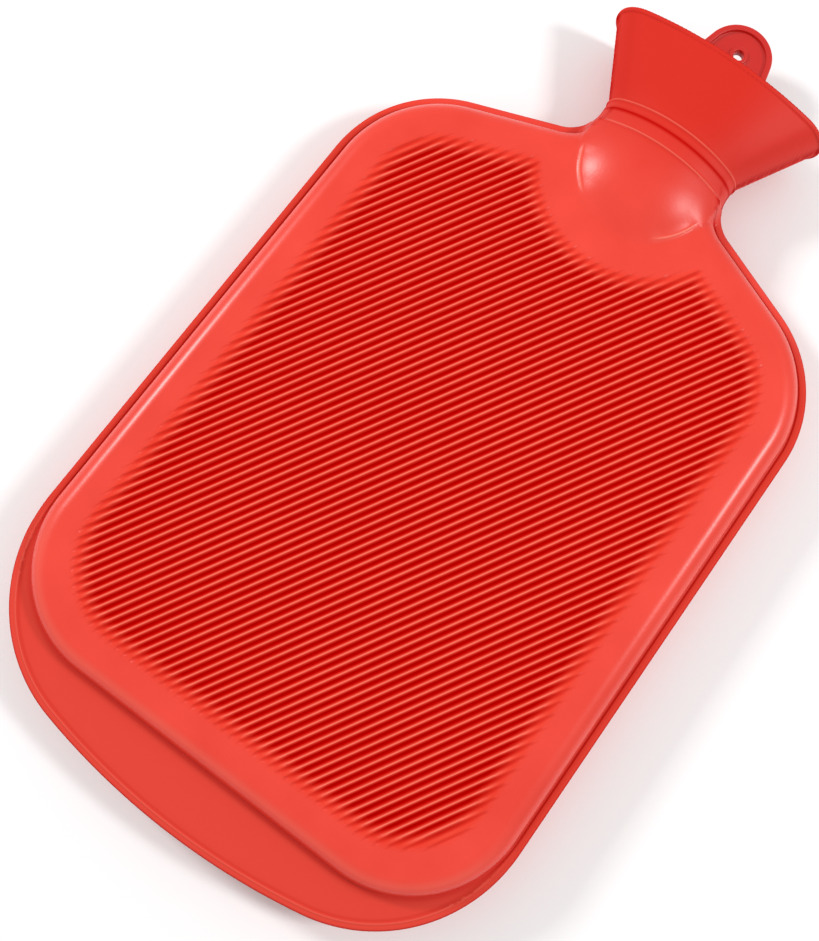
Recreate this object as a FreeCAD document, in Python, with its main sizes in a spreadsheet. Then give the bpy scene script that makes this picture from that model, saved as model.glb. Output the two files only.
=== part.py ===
"""Rubber hot water bottle with a screw stopper, lying on its back.

The bottle is one moulding: a flat chamber with a plain back and a ribbed front, a seam all round
that widens to a flap at the foot, and a thick neck that opens into an oval pouring funnel.
A brass bush is moulded into the neck. The stopper screws into it over a rubber washer.

The frame is in millimetres, +Z up. The bottle lies along Y with its mouth at +Y. The origin is on
the flat back panel, under the middle of the chamber. The two halves of the moulding meet in the
parting plane, which also holds the axis of the neck. Heights along the bottle are measured from
the edge of the foot flap, and are shifted to the origin by FOOT_Y.
"""

import FreeCAD, Part

import math
import os

import Sketcher
from FreeCAD import Vector

SIZES = {
    # outline of the moulding, from the edge of the foot flap
    "half_width": 98.9,
    "foot_corner_r": 57.9,
    "foot_bulge": 4.3,
    "shoulder_half_width": 95.8,
    "shoulder_top": 266.2,
    "shoulder_r": 45.7,
    "neck_root_rise": 21.3,
    "neck_root_r": 13.9,
    "origin_y": 141.0,
    # seam and chamber
    "seam_width": 3.3,
    "seam_thick": 3.0,
    "seam_edge_r": 1.2,
    "flap_width": 22.9,
    "chamber_corner_r": 42.0,
    "front_rise": 10.0,
    "front_edge_r": 7.0,
    "back_drop": 17.5,
    "back_edge_r": 12.0,
    "wall": 2.2,
    # ribbed field on the front
    "rib_pitch": 2.74,
    "groove_depth": 1.2,
    "groove_mouth": 2.1,
    "groove_floor": 0.3,
    "rib_angle": 60.2,
    "rib_margin": 15.6,
    "rib_fade": 8.0,
    "rib_corner_r": 30.0,
    "rib_foot_gap": 16.0,
    "rib_neck_r": 39.0,
    "groove_reach": 0.35,
    "rib_reach": 400.0,
    "rib_count": 93,
    # neck and funnel
    "neck_half_width": 26.8,
    "neck_half_depth": 17.5,
    "neck_skin": 0.3,
    "dome_drop": 11.9,
    "dome_foot_r": 24.4,
    "dome_top": 17.2,
    "neck_foot_drop": 27.5,
    "neck_foot_half_width": 24.5,
    "neck_foot_half_depth": 8.5,
    "ring_drop": 5.5,
    "ring_width": 1.4,
    "ring_rise": 0.5,
    "funnel_rise": 4.8,
    "funnel_length": 28.8,
    "rim_half_width": 43.6,
    "rim_front": 21.0,
    "lip_width": 2.0,
    "lip_rise": 0.4,
    "rim_edge_r": 0.8,
    "oval_round": 0.75,
    "neck_wall": 3.0,
    "rim_wall": 2.6,
    "cavity_drop": 24.5,
    # bush moulded into the neck
    "floor_rise": 0.1,
    "bush_length": 19.4,
    "bush_r": 14.0,
    "bush_groove_r": 13.3,
    "bush_groove_width": 4.0,
    "bore_r": 9.7,
    "throat_r": 9.0,
    # stopper and washer
    "shank_gap": 0.3,
    "washer_thick": 2.5,
    "washer_r": 13.4,
    "washer_bore_r": 11.3,
    "head_r": 13.0,
    "head_thick": 3.0,
    "shank_length": 19.0,
    "shank_bore_r": 6.0,
    "shank_bore_depth": 15.0,
    "shank_chamfer": 1.2,
    "handle_length": 47.0,
    "handle_thick": 5.0,
    "handle_foot_half": 10.0,
    "handle_half_width": 14.6,
    "handle_wide_drop": 7.8,
    "handle_tip_r": 12.5,
    "handle_round_r": 8.0,
    "handle_rim": 2.2,
    "handle_web": 2.2,
    "hang_hole_drop": 11.4,
    "hang_hole_r": 1.9,
    "hang_collar": 1.5,
}

doc = FreeCAD.newDocument("hot_water_bottle")
sheet = doc.addObject("Spreadsheet::Sheet", "sizes")
for row, (alias, number) in enumerate(SIZES.items(), start=1):
    sheet.set(f"A{row}", alias)
    sheet.set(f"B{row}", str(number))
    sheet.setAlias(f"B{row}", alias)
doc.recompute()


class Size:
    """A length worked out from the sheet: its number, and the expression that binds it."""

    def __init__(self, text, number):
        self.text = text
        self.number = float(number)

    def _with(self, other, sign, number):
        text = other.text if isinstance(other, Size) else repr(other)
        return Size(f"({self.text} {sign} {text})", number)

    def __add__(self, other):
        return self._with(other, "+", self.number + number_of(other))

    def __sub__(self, other):
        return self._with(other, "-", self.number - number_of(other))

    def __mul__(self, other):
        return self._with(other, "*", self.number * number_of(other))

    def __truediv__(self, other):
        return self._with(other, "/", self.number / number_of(other))

    def __neg__(self):
        return Size(f"(-1 * {self.text})", -self.number)


def number_of(value):
    return value.number if isinstance(value, Size) else float(value)


def size(alias):
    """A cell of the sheet."""
    return Size(f"sizes.{alias}", getattr(sheet, alias))


ZERO = size("wall") - size("wall")
FOOT_Y = -size("origin_y")
PART_Z = size("back_drop")


CORNER_X = size("half_width") - size("foot_corner_r")
CORNER_Y = FOOT_Y + size("foot_corner_r") + size("foot_bulge")
SHOULDER_X = size("shoulder_half_width") - size("shoulder_r")
SHOULDER_Y = FOOT_Y + size("shoulder_top") - size("shoulder_r")
ROOT_X = size("neck_half_width") + size("neck_root_r")
ROOT_Y = FOOT_Y + size("shoulder_top") + size("neck_root_rise")
NECK_X = size("neck_half_width") + size("neck_skin")
DOME_Y = ROOT_Y - size("dome_drop")
NECK_FOOT_Y = ROOT_Y - size("neck_foot_drop")
RING_Y = ROOT_Y - size("ring_drop")
FUNNEL_FOOT_Y = ROOT_Y + size("funnel_rise")
HIGH_RING_Y = FUNNEL_FOOT_Y - size("ring_width") * 0.8
RIM_Y = FUNNEL_FOOT_Y + size("funnel_length")
CAVITY_TOP_Y = ROOT_Y - size("cavity_drop")
BUSH_TOP_Y = FUNNEL_FOOT_Y + size("floor_rise")
BUSH_FOOT_Y = BUSH_TOP_Y - size("bush_length")
WASHER_TOP_Y = BUSH_TOP_Y + size("washer_thick")
HEAD_TOP_Y = WASHER_TOP_Y + size("head_thick")
HANDLE_TIP_Y = HEAD_TOP_Y + size("handle_length")
HOLE_Y = HANDLE_TIP_Y - size("hang_hole_drop")


def bind(thing, field, value):
    """Sets a property to a size, and ties it to the sheet."""
    setattr(thing, field, value.number)
    thing.setExpression(field, value.text)


def plane_of(body, role):
    """One of the body's own origin planes."""
    return next(f for f in body.Origin.OriginFeatures if f.Role == role)


def new_body(name):
    """A body whose own origin lies in the parting plane, on the axis of the neck."""
    body = doc.addObject("PartDesign::Body", name)
    body.Label = name
    body.Placement = FreeCAD.Placement(Vector(0, 0, PART_Z.number), FreeCAD.Rotation())
    body.setExpression("Placement.Base.z", PART_Z.text)
    return body


def new_sketch(body, name, role, offset=None):
    """A sketch on an origin plane, moved along the plane's normal by a size."""
    sketch = body.newObject("Sketcher::SketchObject", name)
    sketch.AttachmentSupport = [(plane_of(body, role), "")]
    sketch.MapMode = "FlatFace"
    if offset is not None:
        sketch.AttachmentOffset = FreeCAD.Placement(Vector(0, 0, offset.number), FreeCAD.Rotation())
        sketch.setExpression("AttachmentOffset.Base.z", offset.text)
    return sketch


def fix(sketch, kind, *where, value):
    """A dimension of a sketch, tied to the sheet."""
    index = sketch.addConstraint(Sketcher.Constraint(kind, *where, value.number))
    sketch.setExpression(f"Constraints[{index}]", value.text)


def fix_point(sketch, geometry, end, x, y):
    """Places a point of a sketch from the sketch's origin."""
    fix(sketch, "DistanceX", -1, 1, geometry, end, value=x)
    fix(sketch, "DistanceY", -1, 1, geometry, end, value=y)


def tangent_normal(first, second):
    """The outward normal of the line that touches two circles on their right.

    A circle is (x, y, radius), and its radius is negative where the outline curves inwards."""
    reach = Vector(second[0] - first[0], second[1] - first[1], 0)
    turn = math.acos((first[2] - second[2]) / reach.Length)
    along = math.atan2(reach.y, reach.x)
    return Vector(math.cos(along - turn), math.sin(along - turn), 0)


def arc_between(x, y, radius, start, end, side):
    """An arc of the right half's outline, or its mirror image where side is -1."""
    if side < 0:
        start, end = math.pi - end, math.pi - start
    circle = Part.Circle(Vector(side * x, y, 0), Vector(0, 0, 1), radius)
    return Part.ArcOfCircle(circle, start, end)


def draw_outline(sketch, inset, top, corner=None):
    """The bottle's outline, moved inwards by a size and closed at a height.

    The foot is one wide arc that rolls into the two corners. A corner given as (x, y, radius)
    has a straight foot instead. A height below the root of the neck cuts the shoulders off."""
    foot_straight = corner is not None
    if not foot_straight:
        corner = (CORNER_X, CORNER_Y, size("foot_corner_r") - inset)
    shoulder = (SHOULDER_X, SHOULDER_Y, size("shoulder_r") - inset)
    root = (ROOT_X, ROOT_Y, size("neck_root_r") + inset)
    has_neck = top.number > root[1].number
    corner_xyr = [number_of(v) for v in corner]
    shoulder_xyr = [number_of(v) for v in shoulder]
    root_xyr = [number_of(v) for v in root]
    side_normal = tangent_normal(corner_xyr, shoulder_xyr)
    slope_normal = tangent_normal(shoulder_xyr, [*root_xyr[:2], -root_xyr[2]])
    side_angle = math.atan2(side_normal.y, side_normal.x)
    slope_angle = math.atan2(slope_normal.y, slope_normal.x)
    foot_angle = -math.pi / 2
    if not foot_straight:
        foot_y = FOOT_Y + inset
        rise = corner[1] - foot_y
        squares = corner[0] * corner[0] + rise * rise - corner[2] * corner[2]
        foot_r = squares / ((rise - corner[2]) * 2)
        foot_angle = math.atan2(rise.number - foot_r.number, corner_xyr[0])
    neck_x = root_xyr[0] - root_xyr[2]
    top_y = top.number

    def spot(xyr, angle, radius, side):
        return Vector(side * (xyr[0] + radius * math.cos(angle)), xyr[1] + radius * math.sin(angle), 0)

    ends = {}
    for side in (1, -1):
        first, last = (1, 2) if side > 0 else (2, 1)
        arc_corner = sketch.addGeometry(arc_between(*corner_xyr, foot_angle, side_angle, side))
        side_foot = spot(corner_xyr, side_angle, corner_xyr[2], side)
        side_top = spot(shoulder_xyr, side_angle, shoulder_xyr[2], side)
        line_side = sketch.addGeometry(Part.LineSegment(side_foot, side_top))
        arc_shoulder = sketch.addGeometry(arc_between(*shoulder_xyr, side_angle, slope_angle, side))
        slope_foot = spot(shoulder_xyr, slope_angle, shoulder_xyr[2], side)
        slope_top = spot(root_xyr, slope_angle, -root_xyr[2], side)
        if not has_neck:
            share = (top_y - slope_foot.y) / (slope_top.y - slope_foot.y)
            slope_top = slope_foot + (slope_top - slope_foot) * share
        line_slope = sketch.addGeometry(Part.LineSegment(slope_foot, slope_top))
        fix_point(sketch, arc_corner, 3, corner[0] * side, corner[1])
        fix_point(sketch, arc_shoulder, 3, shoulder[0] * side, shoulder[1])
        fix(sketch, "Radius", arc_corner, value=corner[2])
        fix(sketch, "Radius", arc_shoulder, value=shoulder[2])
        joins = [
            (arc_corner, last, line_side, 1),
            (line_side, 2, arc_shoulder, first),
            (arc_shoulder, last, line_slope, 1),
        ]
        if has_neck:
            arc_root = sketch.addGeometry(arc_between(*root_xyr, math.pi, slope_angle + math.pi, side))
            neck_foot = Vector(side * neck_x, root_xyr[1], 0)
            line_neck = sketch.addGeometry(Part.LineSegment(neck_foot, Vector(side * neck_x, top_y, 0)))
            fix_point(sketch, arc_root, 3, root[0] * side, root[1])
            fix(sketch, "Radius", arc_root, value=root[2])
            joins += [(line_slope, 2, arc_root, last), (arc_root, first, line_neck, 1)]
            sketch.addConstraint(Sketcher.Constraint("Vertical", line_neck))
            ends[side] = (arc_corner, first, line_neck, Vector(side * neck_x, top_y, 0))
        else:
            circle = Part.Circle(Vector(side * root_xyr[0], root_xyr[1], 0), Vector(0, 0, 1), root_xyr[2])
            guide = sketch.addGeometry(circle, True)
            fix_point(sketch, guide, 3, root[0] * side, root[1])
            fix(sketch, "Radius", guide, value=root[2])
            sketch.addConstraint(Sketcher.Constraint("Tangent", line_slope, guide))
            ends[side] = (arc_corner, first, line_slope, slope_top)
        for one, one_end, other, other_end in joins:
            sketch.addConstraint(Sketcher.Constraint("Tangent", one, one_end, other, other_end))
    right, left = ends[1], ends[-1]
    line_top = sketch.addGeometry(Part.LineSegment(right[3], left[3]))
    sketch.addConstraint(Sketcher.Constraint("Coincident", right[2], 2, line_top, 1))
    sketch.addConstraint(Sketcher.Constraint("Coincident", left[2], 2, line_top, 2))
    sketch.addConstraint(Sketcher.Constraint("Horizontal", line_top))
    fix(sketch, "DistanceY", -1, 1, line_top, 1, value=top)
    if foot_straight:
        low = corner_xyr[1] - corner_xyr[2]
        foot_line = Part.LineSegment(Vector(-corner_xyr[0], low, 0), Vector(corner_xyr[0], low, 0))
        foot = sketch.addGeometry(foot_line)
    else:
        circle = Part.Circle(Vector(0, foot_y.number + foot_r.number, 0), Vector(0, 0, 1), foot_r.number)
        foot_arc = Part.ArcOfCircle(circle, math.pi - foot_angle, 2 * math.pi + foot_angle)
        foot = sketch.addGeometry(foot_arc)
        fix(sketch, "Radius", foot, value=foot_r)
    sketch.addConstraint(Sketcher.Constraint("Tangent", left[0], left[1], foot, 1))
    sketch.addConstraint(Sketcher.Constraint("Tangent", foot, 2, right[0], right[1]))
    return sketch


def draw_rib_field(sketch, inset):
    """The ribbed field: the chamber's outline moved inwards, and hollowed round the neck's dome."""
    half = size("half_width") - size("seam_width") - size("rib_margin")
    corner_r = size("rib_corner_r") - inset
    foot = FOOT_Y + size("flap_width") + size("rib_foot_gap") + inset
    total = size("seam_width") + size("rib_margin") + inset
    corner = (half - size("rib_corner_r"), foot + corner_r, corner_r)
    shoulder = (SHOULDER_X, SHOULDER_Y, size("shoulder_r") - total)
    root = (ROOT_X, ROOT_Y, size("neck_root_r") + total)
    dome_r = size("rib_neck_r") + inset
    corner_xyr = [number_of(v) for v in corner]
    shoulder_xyr = [number_of(v) for v in shoulder]
    root_xyr = [number_of(v) for v in root]
    side_normal = tangent_normal(corner_xyr, shoulder_xyr)
    slope_normal = tangent_normal(shoulder_xyr, [*root_xyr[:2], -root_xyr[2]])
    side_angle = math.atan2(side_normal.y, side_normal.x)
    slope_angle = math.atan2(slope_normal.y, slope_normal.x)

    def spot(xyr, angle, side):
        return Vector(side * (xyr[0] + xyr[2] * math.cos(angle)), xyr[1] + xyr[2] * math.sin(angle), 0)

    slope_foot = spot(shoulder_xyr, slope_angle, 1)
    away = Vector(-slope_normal.y, slope_normal.x, 0)
    from_dome = slope_foot - Vector(0, DOME_Y.number, 0)
    across = from_dome.dot(away)
    run = -across - math.sqrt(across**2 - from_dome.dot(from_dome) + dome_r.number**2)
    end = slope_foot + away * run
    end_angle = math.atan2(end.y - DOME_Y.number, end.x)
    circle = Part.Circle(Vector(0, DOME_Y.number, 0), Vector(0, 0, 1), dome_r.number)
    hollow = sketch.addGeometry(Part.ArcOfCircle(circle, math.pi - end_angle, 2 * math.pi + end_angle))
    fix_point(sketch, hollow, 3, ZERO, DOME_Y)
    fix(sketch, "Radius", hollow, value=dome_r)
    corners = {}
    for side in (1, -1):
        first, last = (1, 2) if side > 0 else (2, 1)
        arc_corner = sketch.addGeometry(arc_between(*corner_xyr, -math.pi / 2, side_angle, side))
        side_line = Part.LineSegment(spot(corner_xyr, side_angle, side), spot(shoulder_xyr, side_angle, side))
        line_side = sketch.addGeometry(side_line)
        arc_shoulder = sketch.addGeometry(arc_between(*shoulder_xyr, side_angle, slope_angle, side))
        slope_line = Part.LineSegment(spot(shoulder_xyr, slope_angle, side), Vector(side * end.x, end.y, 0))
        line_slope = sketch.addGeometry(slope_line)
        guide_at = Vector(side * root_xyr[0], root_xyr[1], 0)
        guide = sketch.addGeometry(Part.Circle(guide_at, Vector(0, 0, 1), root_xyr[2]), True)
        for arc, xyr in ((arc_corner, corner), (arc_shoulder, shoulder), (guide, root)):
            fix_point(sketch, arc, 3, xyr[0] * side, xyr[1])
            fix(sketch, "Radius", arc, value=xyr[2])
        sketch.addConstraint(Sketcher.Constraint("Tangent", arc_corner, last, line_side, 1))
        sketch.addConstraint(Sketcher.Constraint("Tangent", line_side, 2, arc_shoulder, first))
        sketch.addConstraint(Sketcher.Constraint("Tangent", arc_shoulder, last, line_slope, 1))
        sketch.addConstraint(Sketcher.Constraint("Tangent", line_slope, guide))
        sketch.addConstraint(Sketcher.Constraint("Coincident", line_slope, 2, hollow, 2 if side > 0 else 1))
        corners[side] = (arc_corner, first)
    low = corner_xyr[1] - corner_xyr[2]
    foot_line = Part.LineSegment(Vector(-corner_xyr[0], low, 0), Vector(corner_xyr[0], low, 0))
    line_foot = sketch.addGeometry(foot_line)
    sketch.addConstraint(Sketcher.Constraint("Tangent", *corners[-1], line_foot, 1))
    sketch.addConstraint(Sketcher.Constraint("Tangent", line_foot, 2, *corners[1]))
    return sketch


def draw_oval(sketch, half_width, half_depth, middle=None):
    """A closed oval of four arcs, whose middle may lie above the sketch's origin."""
    middle = ZERO if middle is None else middle
    side_r = half_depth * size("oval_round")
    squares = half_width * half_width + half_depth * half_depth - half_width * side_r * 2
    top_r = squares / ((half_depth - side_r) * 2)
    side_x = half_width - side_r
    top_y = half_depth - top_r
    angle = math.atan2(-top_y.number, side_x.number)
    lift = middle.number
    right = Part.Circle(Vector(side_x.number, lift, 0), Vector(0, 0, 1), side_r.number)
    left = Part.Circle(Vector(-side_x.number, lift, 0), Vector(0, 0, 1), side_r.number)
    upper = Part.Circle(Vector(0, lift + top_y.number, 0), Vector(0, 0, 1), top_r.number)
    lower = Part.Circle(Vector(0, lift - top_y.number, 0), Vector(0, 0, 1), top_r.number)
    arcs = [
        sketch.addGeometry(Part.ArcOfCircle(right, -angle, angle)),
        sketch.addGeometry(Part.ArcOfCircle(upper, angle, math.pi - angle)),
        sketch.addGeometry(Part.ArcOfCircle(left, math.pi - angle, math.pi + angle)),
        sketch.addGeometry(Part.ArcOfCircle(lower, math.pi + angle, 2 * math.pi - angle)),
    ]
    for index, arc in enumerate(arcs):
        sketch.addConstraint(Sketcher.Constraint("Tangent", arc, 2, arcs[(index + 1) % 4], 1))
    fix_point(sketch, arcs[0], 3, side_x, middle)
    fix_point(sketch, arcs[1], 3, ZERO, middle + top_y)
    fix_point(sketch, arcs[2], 3, -side_x, middle)
    fix(sketch, "DistanceY", -1, 1, arcs[3], 3, value=middle - top_y)
    fix(sketch, "Radius", arcs[0], value=side_r)
    return sketch


def draw_handle(sketch, inset):
    """The stopper's handle: it widens from its foot, and ends in a round tip."""
    foot_x = size("handle_foot_half") - inset
    foot_y = HEAD_TOP_Y + inset - size("seam_edge_r")
    wide_x = size("handle_half_width") - size("handle_round_r")
    wide_r = size("handle_round_r") - inset
    tip_y = HANDLE_TIP_Y - size("handle_tip_r")
    wide_y = tip_y - size("handle_wide_drop")
    tip_r = size("handle_tip_r") - inset
    foot_xyr = (foot_x.number, foot_y.number, 0)
    wide_xyr = (wide_x.number, wide_y.number, wide_r.number)
    tip_xyr = (0, tip_y.number, tip_r.number)
    low_normal = tangent_normal(foot_xyr, wide_xyr)
    high_normal = tangent_normal(wide_xyr, tip_xyr)
    low_angle = math.atan2(low_normal.y, low_normal.x)
    high_angle = math.atan2(high_normal.y, high_normal.x)
    circle = Part.Circle(Vector(0, tip_y.number, 0), Vector(0, 0, 1), tip_r.number)
    tip = sketch.addGeometry(Part.ArcOfCircle(circle, high_angle, math.pi - high_angle))
    fix_point(sketch, tip, 3, ZERO, tip_y)
    fix(sketch, "Radius", tip, value=tip_r)

    def spot(xyr, angle, side):
        return Vector(side * (xyr[0] + xyr[2] * math.cos(angle)), xyr[1] + xyr[2] * math.sin(angle), 0)

    lows = {}
    for side in (1, -1):
        first, last = (1, 2) if side > 0 else (2, 1)
        foot_spot = Vector(side * foot_x.number, foot_y.number, 0)
        low = sketch.addGeometry(Part.LineSegment(foot_spot, spot(wide_xyr, low_angle, side)))
        bend = sketch.addGeometry(arc_between(*wide_xyr, low_angle, high_angle, side))
        high_line = Part.LineSegment(spot(wide_xyr, high_angle, side), spot(tip_xyr, high_angle, side))
        high = sketch.addGeometry(high_line)
        fix_point(sketch, low, 1, foot_x * side, foot_y)
        fix_point(sketch, bend, 3, wide_x * side, wide_y)
        fix(sketch, "Radius", bend, value=wide_r)
        sketch.addConstraint(Sketcher.Constraint("Tangent", low, 2, bend, first))
        sketch.addConstraint(Sketcher.Constraint("Tangent", bend, last, high, 1))
        sketch.addConstraint(Sketcher.Constraint("Tangent", high, 2, tip, first))
        lows[side] = low
    foot_right = Vector(foot_x.number, foot_y.number, 0)
    foot_left = Vector(-foot_x.number, foot_y.number, 0)
    foot = sketch.addGeometry(Part.LineSegment(foot_right, foot_left))
    sketch.addConstraint(Sketcher.Constraint("Coincident", lows[1], 1, foot, 1))
    sketch.addConstraint(Sketcher.Constraint("Coincident", lows[-1], 1, foot, 2))
    return sketch


def draw_hole(sketch, radius):
    """A circle round the hanging hole."""
    circle = Part.Circle(Vector(0, HOLE_Y.number, 0), Vector(0, 0, 1), radius.number)
    ring = sketch.addGeometry(circle)
    fix_point(sketch, ring, 3, ZERO, HOLE_Y)
    fix(sketch, "Radius", ring, value=radius)
    return sketch


def draw_profile(sketch, corners):
    """A closed outline of straight lines through the given (x, y) sizes."""
    spots = [Vector(x.number, y.number, 0) for x, y in corners]
    lines = []
    for index, spot in enumerate(spots):
        line = Part.LineSegment(spot, spots[(index + 1) % len(spots)])
        lines.append(sketch.addGeometry(line))
    for index, line in enumerate(lines):
        sketch.addConstraint(Sketcher.Constraint("Coincident", line, 2, lines[(index + 1) % len(lines)], 1))
        fix_point(sketch, line, 1, *corners[index])
    return sketch


def new_pad(body, sketch, name, length, side="up"):
    """Raises a sketch on one side of its plane, or evenly on both."""
    pad = body.newObject("PartDesign::Pad", name)
    pad.Profile = sketch
    bind(pad, "Length", length)
    pad.Reversed = side == "down"
    pad.Midplane = side == "both"
    doc.recompute()
    return pad


def new_section(body, name, y):
    """A sketch across the neck, at a height along the bottle."""
    return new_sketch(body, name, "XZ_Plane", -y)


def new_loft(body, name, sections):
    loft = body.newObject("PartDesign::AdditiveLoft", name)
    loft.Profile = sections[0]
    loft.Sections = sections[1:]
    loft.Ruled = True
    doc.recompute()
    return loft


def round_edges(body, feature, name, radius, chosen):
    """Rounds the edges of a feature that a test picks."""
    names = []
    for index, edge in enumerate(feature.Shape.Edges, start=1):
        if chosen(edge):
            names.append(f"Edge{index}")
    fillet = body.newObject("PartDesign::Fillet", name)
    fillet.Base = (feature, names)
    bind(fillet, "Radius", radius)
    doc.recompute()
    return fillet


def revolve(body, sketch, name):
    """Turns a sketch once round the axis of the neck."""
    turn = body.newObject("PartDesign::Revolution", name)
    turn.Profile = sketch
    turn.ReferenceAxis = (sketch, ["V_Axis"])
    turn.Angle = 360
    doc.recompute()
    return turn


def fuse(name, shapes):
    union = doc.addObject("Part::MultiFuse", name)
    union.Shapes = shapes
    doc.recompute()
    return union


def is_level(edge, z):
    """Whether an edge lies at a height of its body, away from the line that closes the sketch."""
    box = edge.BoundBox
    flat = abs(box.ZMin - z) < 1e-4 and abs(box.ZMax - z) < 1e-4
    closing = box.YLength < 1e-4 and box.YMax > 0
    return flat and not closing


# The moulding's outside.
SEAM = size("seam_width")
WALL = size("wall")
ROOT_TOP_Y = ROOT_Y + size("seam_edge_r")
CHAMBER_X = size("half_width") - SEAM - size("chamber_corner_r")
CHAMBER_Y = FOOT_Y + size("flap_width") + size("chamber_corner_r")

seam_body = new_body("seam")
seam_sketch = draw_outline(new_sketch(seam_body, "seam_outline", "XY_Plane"), ZERO, ROOT_TOP_Y)
seam_pad = new_pad(seam_body, seam_sketch, "seam_plate", size("seam_thick"), "both")
half_seam = size("seam_thick").number / 2
round_edges(
    seam_body,
    seam_pad,
    "seam_edges",
    size("seam_edge_r"),
    lambda edge: is_level(edge, half_seam) or is_level(edge, -half_seam),
)

HALVES = (
    ("front", "up", size("front_rise"), size("front_edge_r"), size("groove_depth")),
    ("back", "down", size("back_drop"), size("back_edge_r"), None),
)
outsides = [seam_body]
insides = []
for half_name, side, height, edge_r, groove in HALVES:
    level = height.number if side == "up" else -height.number
    corner = (CHAMBER_X, CHAMBER_Y, size("chamber_corner_r"))
    half_body = new_body(half_name + "_chamber")
    sketch = new_sketch(half_body, half_name + "_outline", "XY_Plane")
    draw_outline(sketch, SEAM, ROOT_TOP_Y, corner)
    pad = new_pad(half_body, sketch, half_name + "_pad", height, side)
    round_edges(half_body, pad, half_name + "_edges", edge_r, lambda edge: is_level(edge, level))
    outsides.append(half_body)

    inner_height = height - WALL - groove if groove else height - WALL
    inner_level = inner_height.number if side == "up" else -inner_height.number
    inner_corner = (CHAMBER_X, CHAMBER_Y, size("chamber_corner_r") - WALL)
    cavity_body = new_body(half_name + "_cavity")
    sketch = new_sketch(cavity_body, half_name + "_cavity_outline", "XY_Plane")
    draw_outline(sketch, SEAM + WALL, CAVITY_TOP_Y, inner_corner)
    pad = new_pad(cavity_body, sketch, half_name + "_cavity_pad", inner_height, side)
    round_edges(
        cavity_body, pad, half_name + "_cavity_edges", edge_r - WALL, lambda edge: is_level(edge, inner_level)
    )
    insides.append(cavity_body)

# The dome is the cap of a sphere that stands on the front of the chamber.
dome_rise = size("dome_top") - size("front_rise")
dome_radius = (size("dome_foot_r") * size("dome_foot_r") + dome_rise * dome_rise) / (dome_rise * 2)
dome_centre = size("dome_top") - dome_radius
dome_foot = (size("front_rise") - size("groove_depth") - dome_centre) / dome_radius
dome = doc.addObject("Part::Sphere", "dome")
bind(dome, "Radius", dome_radius)
dome.Angle1 = math.degrees(math.asin(dome_foot.number))
dome.setExpression("Angle1", f"asin({dome_foot.text})")
dome.Placement = FreeCAD.Placement(
    Vector(0, DOME_Y.number, (PART_Z + dome_centre).number), FreeCAD.Rotation()
)
dome.setExpression("Placement.Base.y", DOME_Y.text)
dome.setExpression("Placement.Base.z", (PART_Z + dome_centre).text)
outsides.append(dome)

neck_body = new_body("neck")
neck_sections = []
for section_name, y, half_width, half_depth in (
    ("neck_foot", NECK_FOOT_Y, size("neck_foot_half_width"), size("neck_foot_half_depth")),
    ("neck_low", RING_Y, NECK_X, size("neck_half_depth")),
    ("neck_high", FUNNEL_FOOT_Y + size("lip_width"), NECK_X, size("neck_half_depth")),
):
    section = new_section(neck_body, section_name, y)
    neck_sections.append(draw_oval(section, half_width, half_depth))
new_loft(neck_body, "neck_loft", neck_sections)
outsides.append(neck_body)

for ring_name, y in (("low_ring", RING_Y), ("high_ring", HIGH_RING_Y)):
    ring_body = new_body(ring_name)
    section = new_section(ring_body, ring_name + "_section", y)
    draw_oval(section, NECK_X + size("ring_rise"), size("neck_half_depth") + size("ring_rise"))
    new_pad(ring_body, section, ring_name + "_band", size("ring_width"), "both")
    outsides.append(ring_body)

RIM_HALF_DEPTH = (size("rim_front") + size("neck_half_depth")) / 2
RIM_LIFT = (size("rim_front") - size("neck_half_depth")) / 2
funnel_body = new_body("funnel")
funnel_sections = [
    draw_oval(
        new_section(funnel_body, "funnel_foot", FUNNEL_FOOT_Y),
        NECK_X + size("ring_rise") / 2,
        size("neck_half_depth") + size("ring_rise") / 2,
    ),
    draw_oval(
        new_section(funnel_body, "funnel_rim", RIM_Y - size("lip_width") / 2),
        size("rim_half_width") - size("lip_rise"),
        RIM_HALF_DEPTH - size("lip_rise"),
        RIM_LIFT,
    ),
]
new_loft(funnel_body, "funnel_loft", funnel_sections)
outsides.append(funnel_body)

lip_body = new_body("lip")
lip_section = new_section(lip_body, "lip_section", RIM_Y)
draw_oval(lip_section, size("rim_half_width"), RIM_HALF_DEPTH, RIM_LIFT)
lip_band = new_pad(lip_body, lip_section, "lip_band", size("lip_width"))
round_edges(
    lip_body,
    lip_band,
    "lip_edges",
    size("rim_edge_r"),
    lambda edge: edge.BoundBox.YLength < 1e-3,
)
outsides.append(lip_body)

# Grooves run across the front of the chamber, and fade out where their field ends. What is left
# between them are the ribs, whose crests are level with the chamber's front.
groove_lines = doc.addObject("PartDesign::Body", "groove_lines")
groove_sketch = new_sketch(groove_lines, "groove_profile", "XZ_Plane")
PITCH = size("rib_pitch")
groove_start = -PITCH * (size("rib_count") - 1) / 2
half_mouth = size("groove_mouth") / 2
half_floor = size("groove_floor") / 2
spread = (half_mouth - half_floor) / size("groove_depth") * size("groove_reach")
draw_profile(
    groove_sketch,
    (
        (groove_start - half_floor, -size("groove_depth")),
        (groove_start + half_floor, -size("groove_depth")),
        (groove_start + half_mouth + spread, size("groove_reach")),
        (groove_start - half_mouth - spread, size("groove_reach")),
    ),
)
new_pad(groove_lines, groove_sketch, "groove", size("rib_reach"), "both")
rows = groove_lines.newObject("PartDesign::LinearPattern", "groove_rows")
rows.Originals = [doc.getObject("groove")]
rows.Direction = (plane_of(groove_lines, "X_Axis"), [""])
bind(rows, "Length", PITCH * (size("rib_count") - 1))
rows.Occurrences = int(sheet.rib_count)
rows.setExpression("Occurrences", "sizes.rib_count")
groove_lines.Tip = rows
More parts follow.
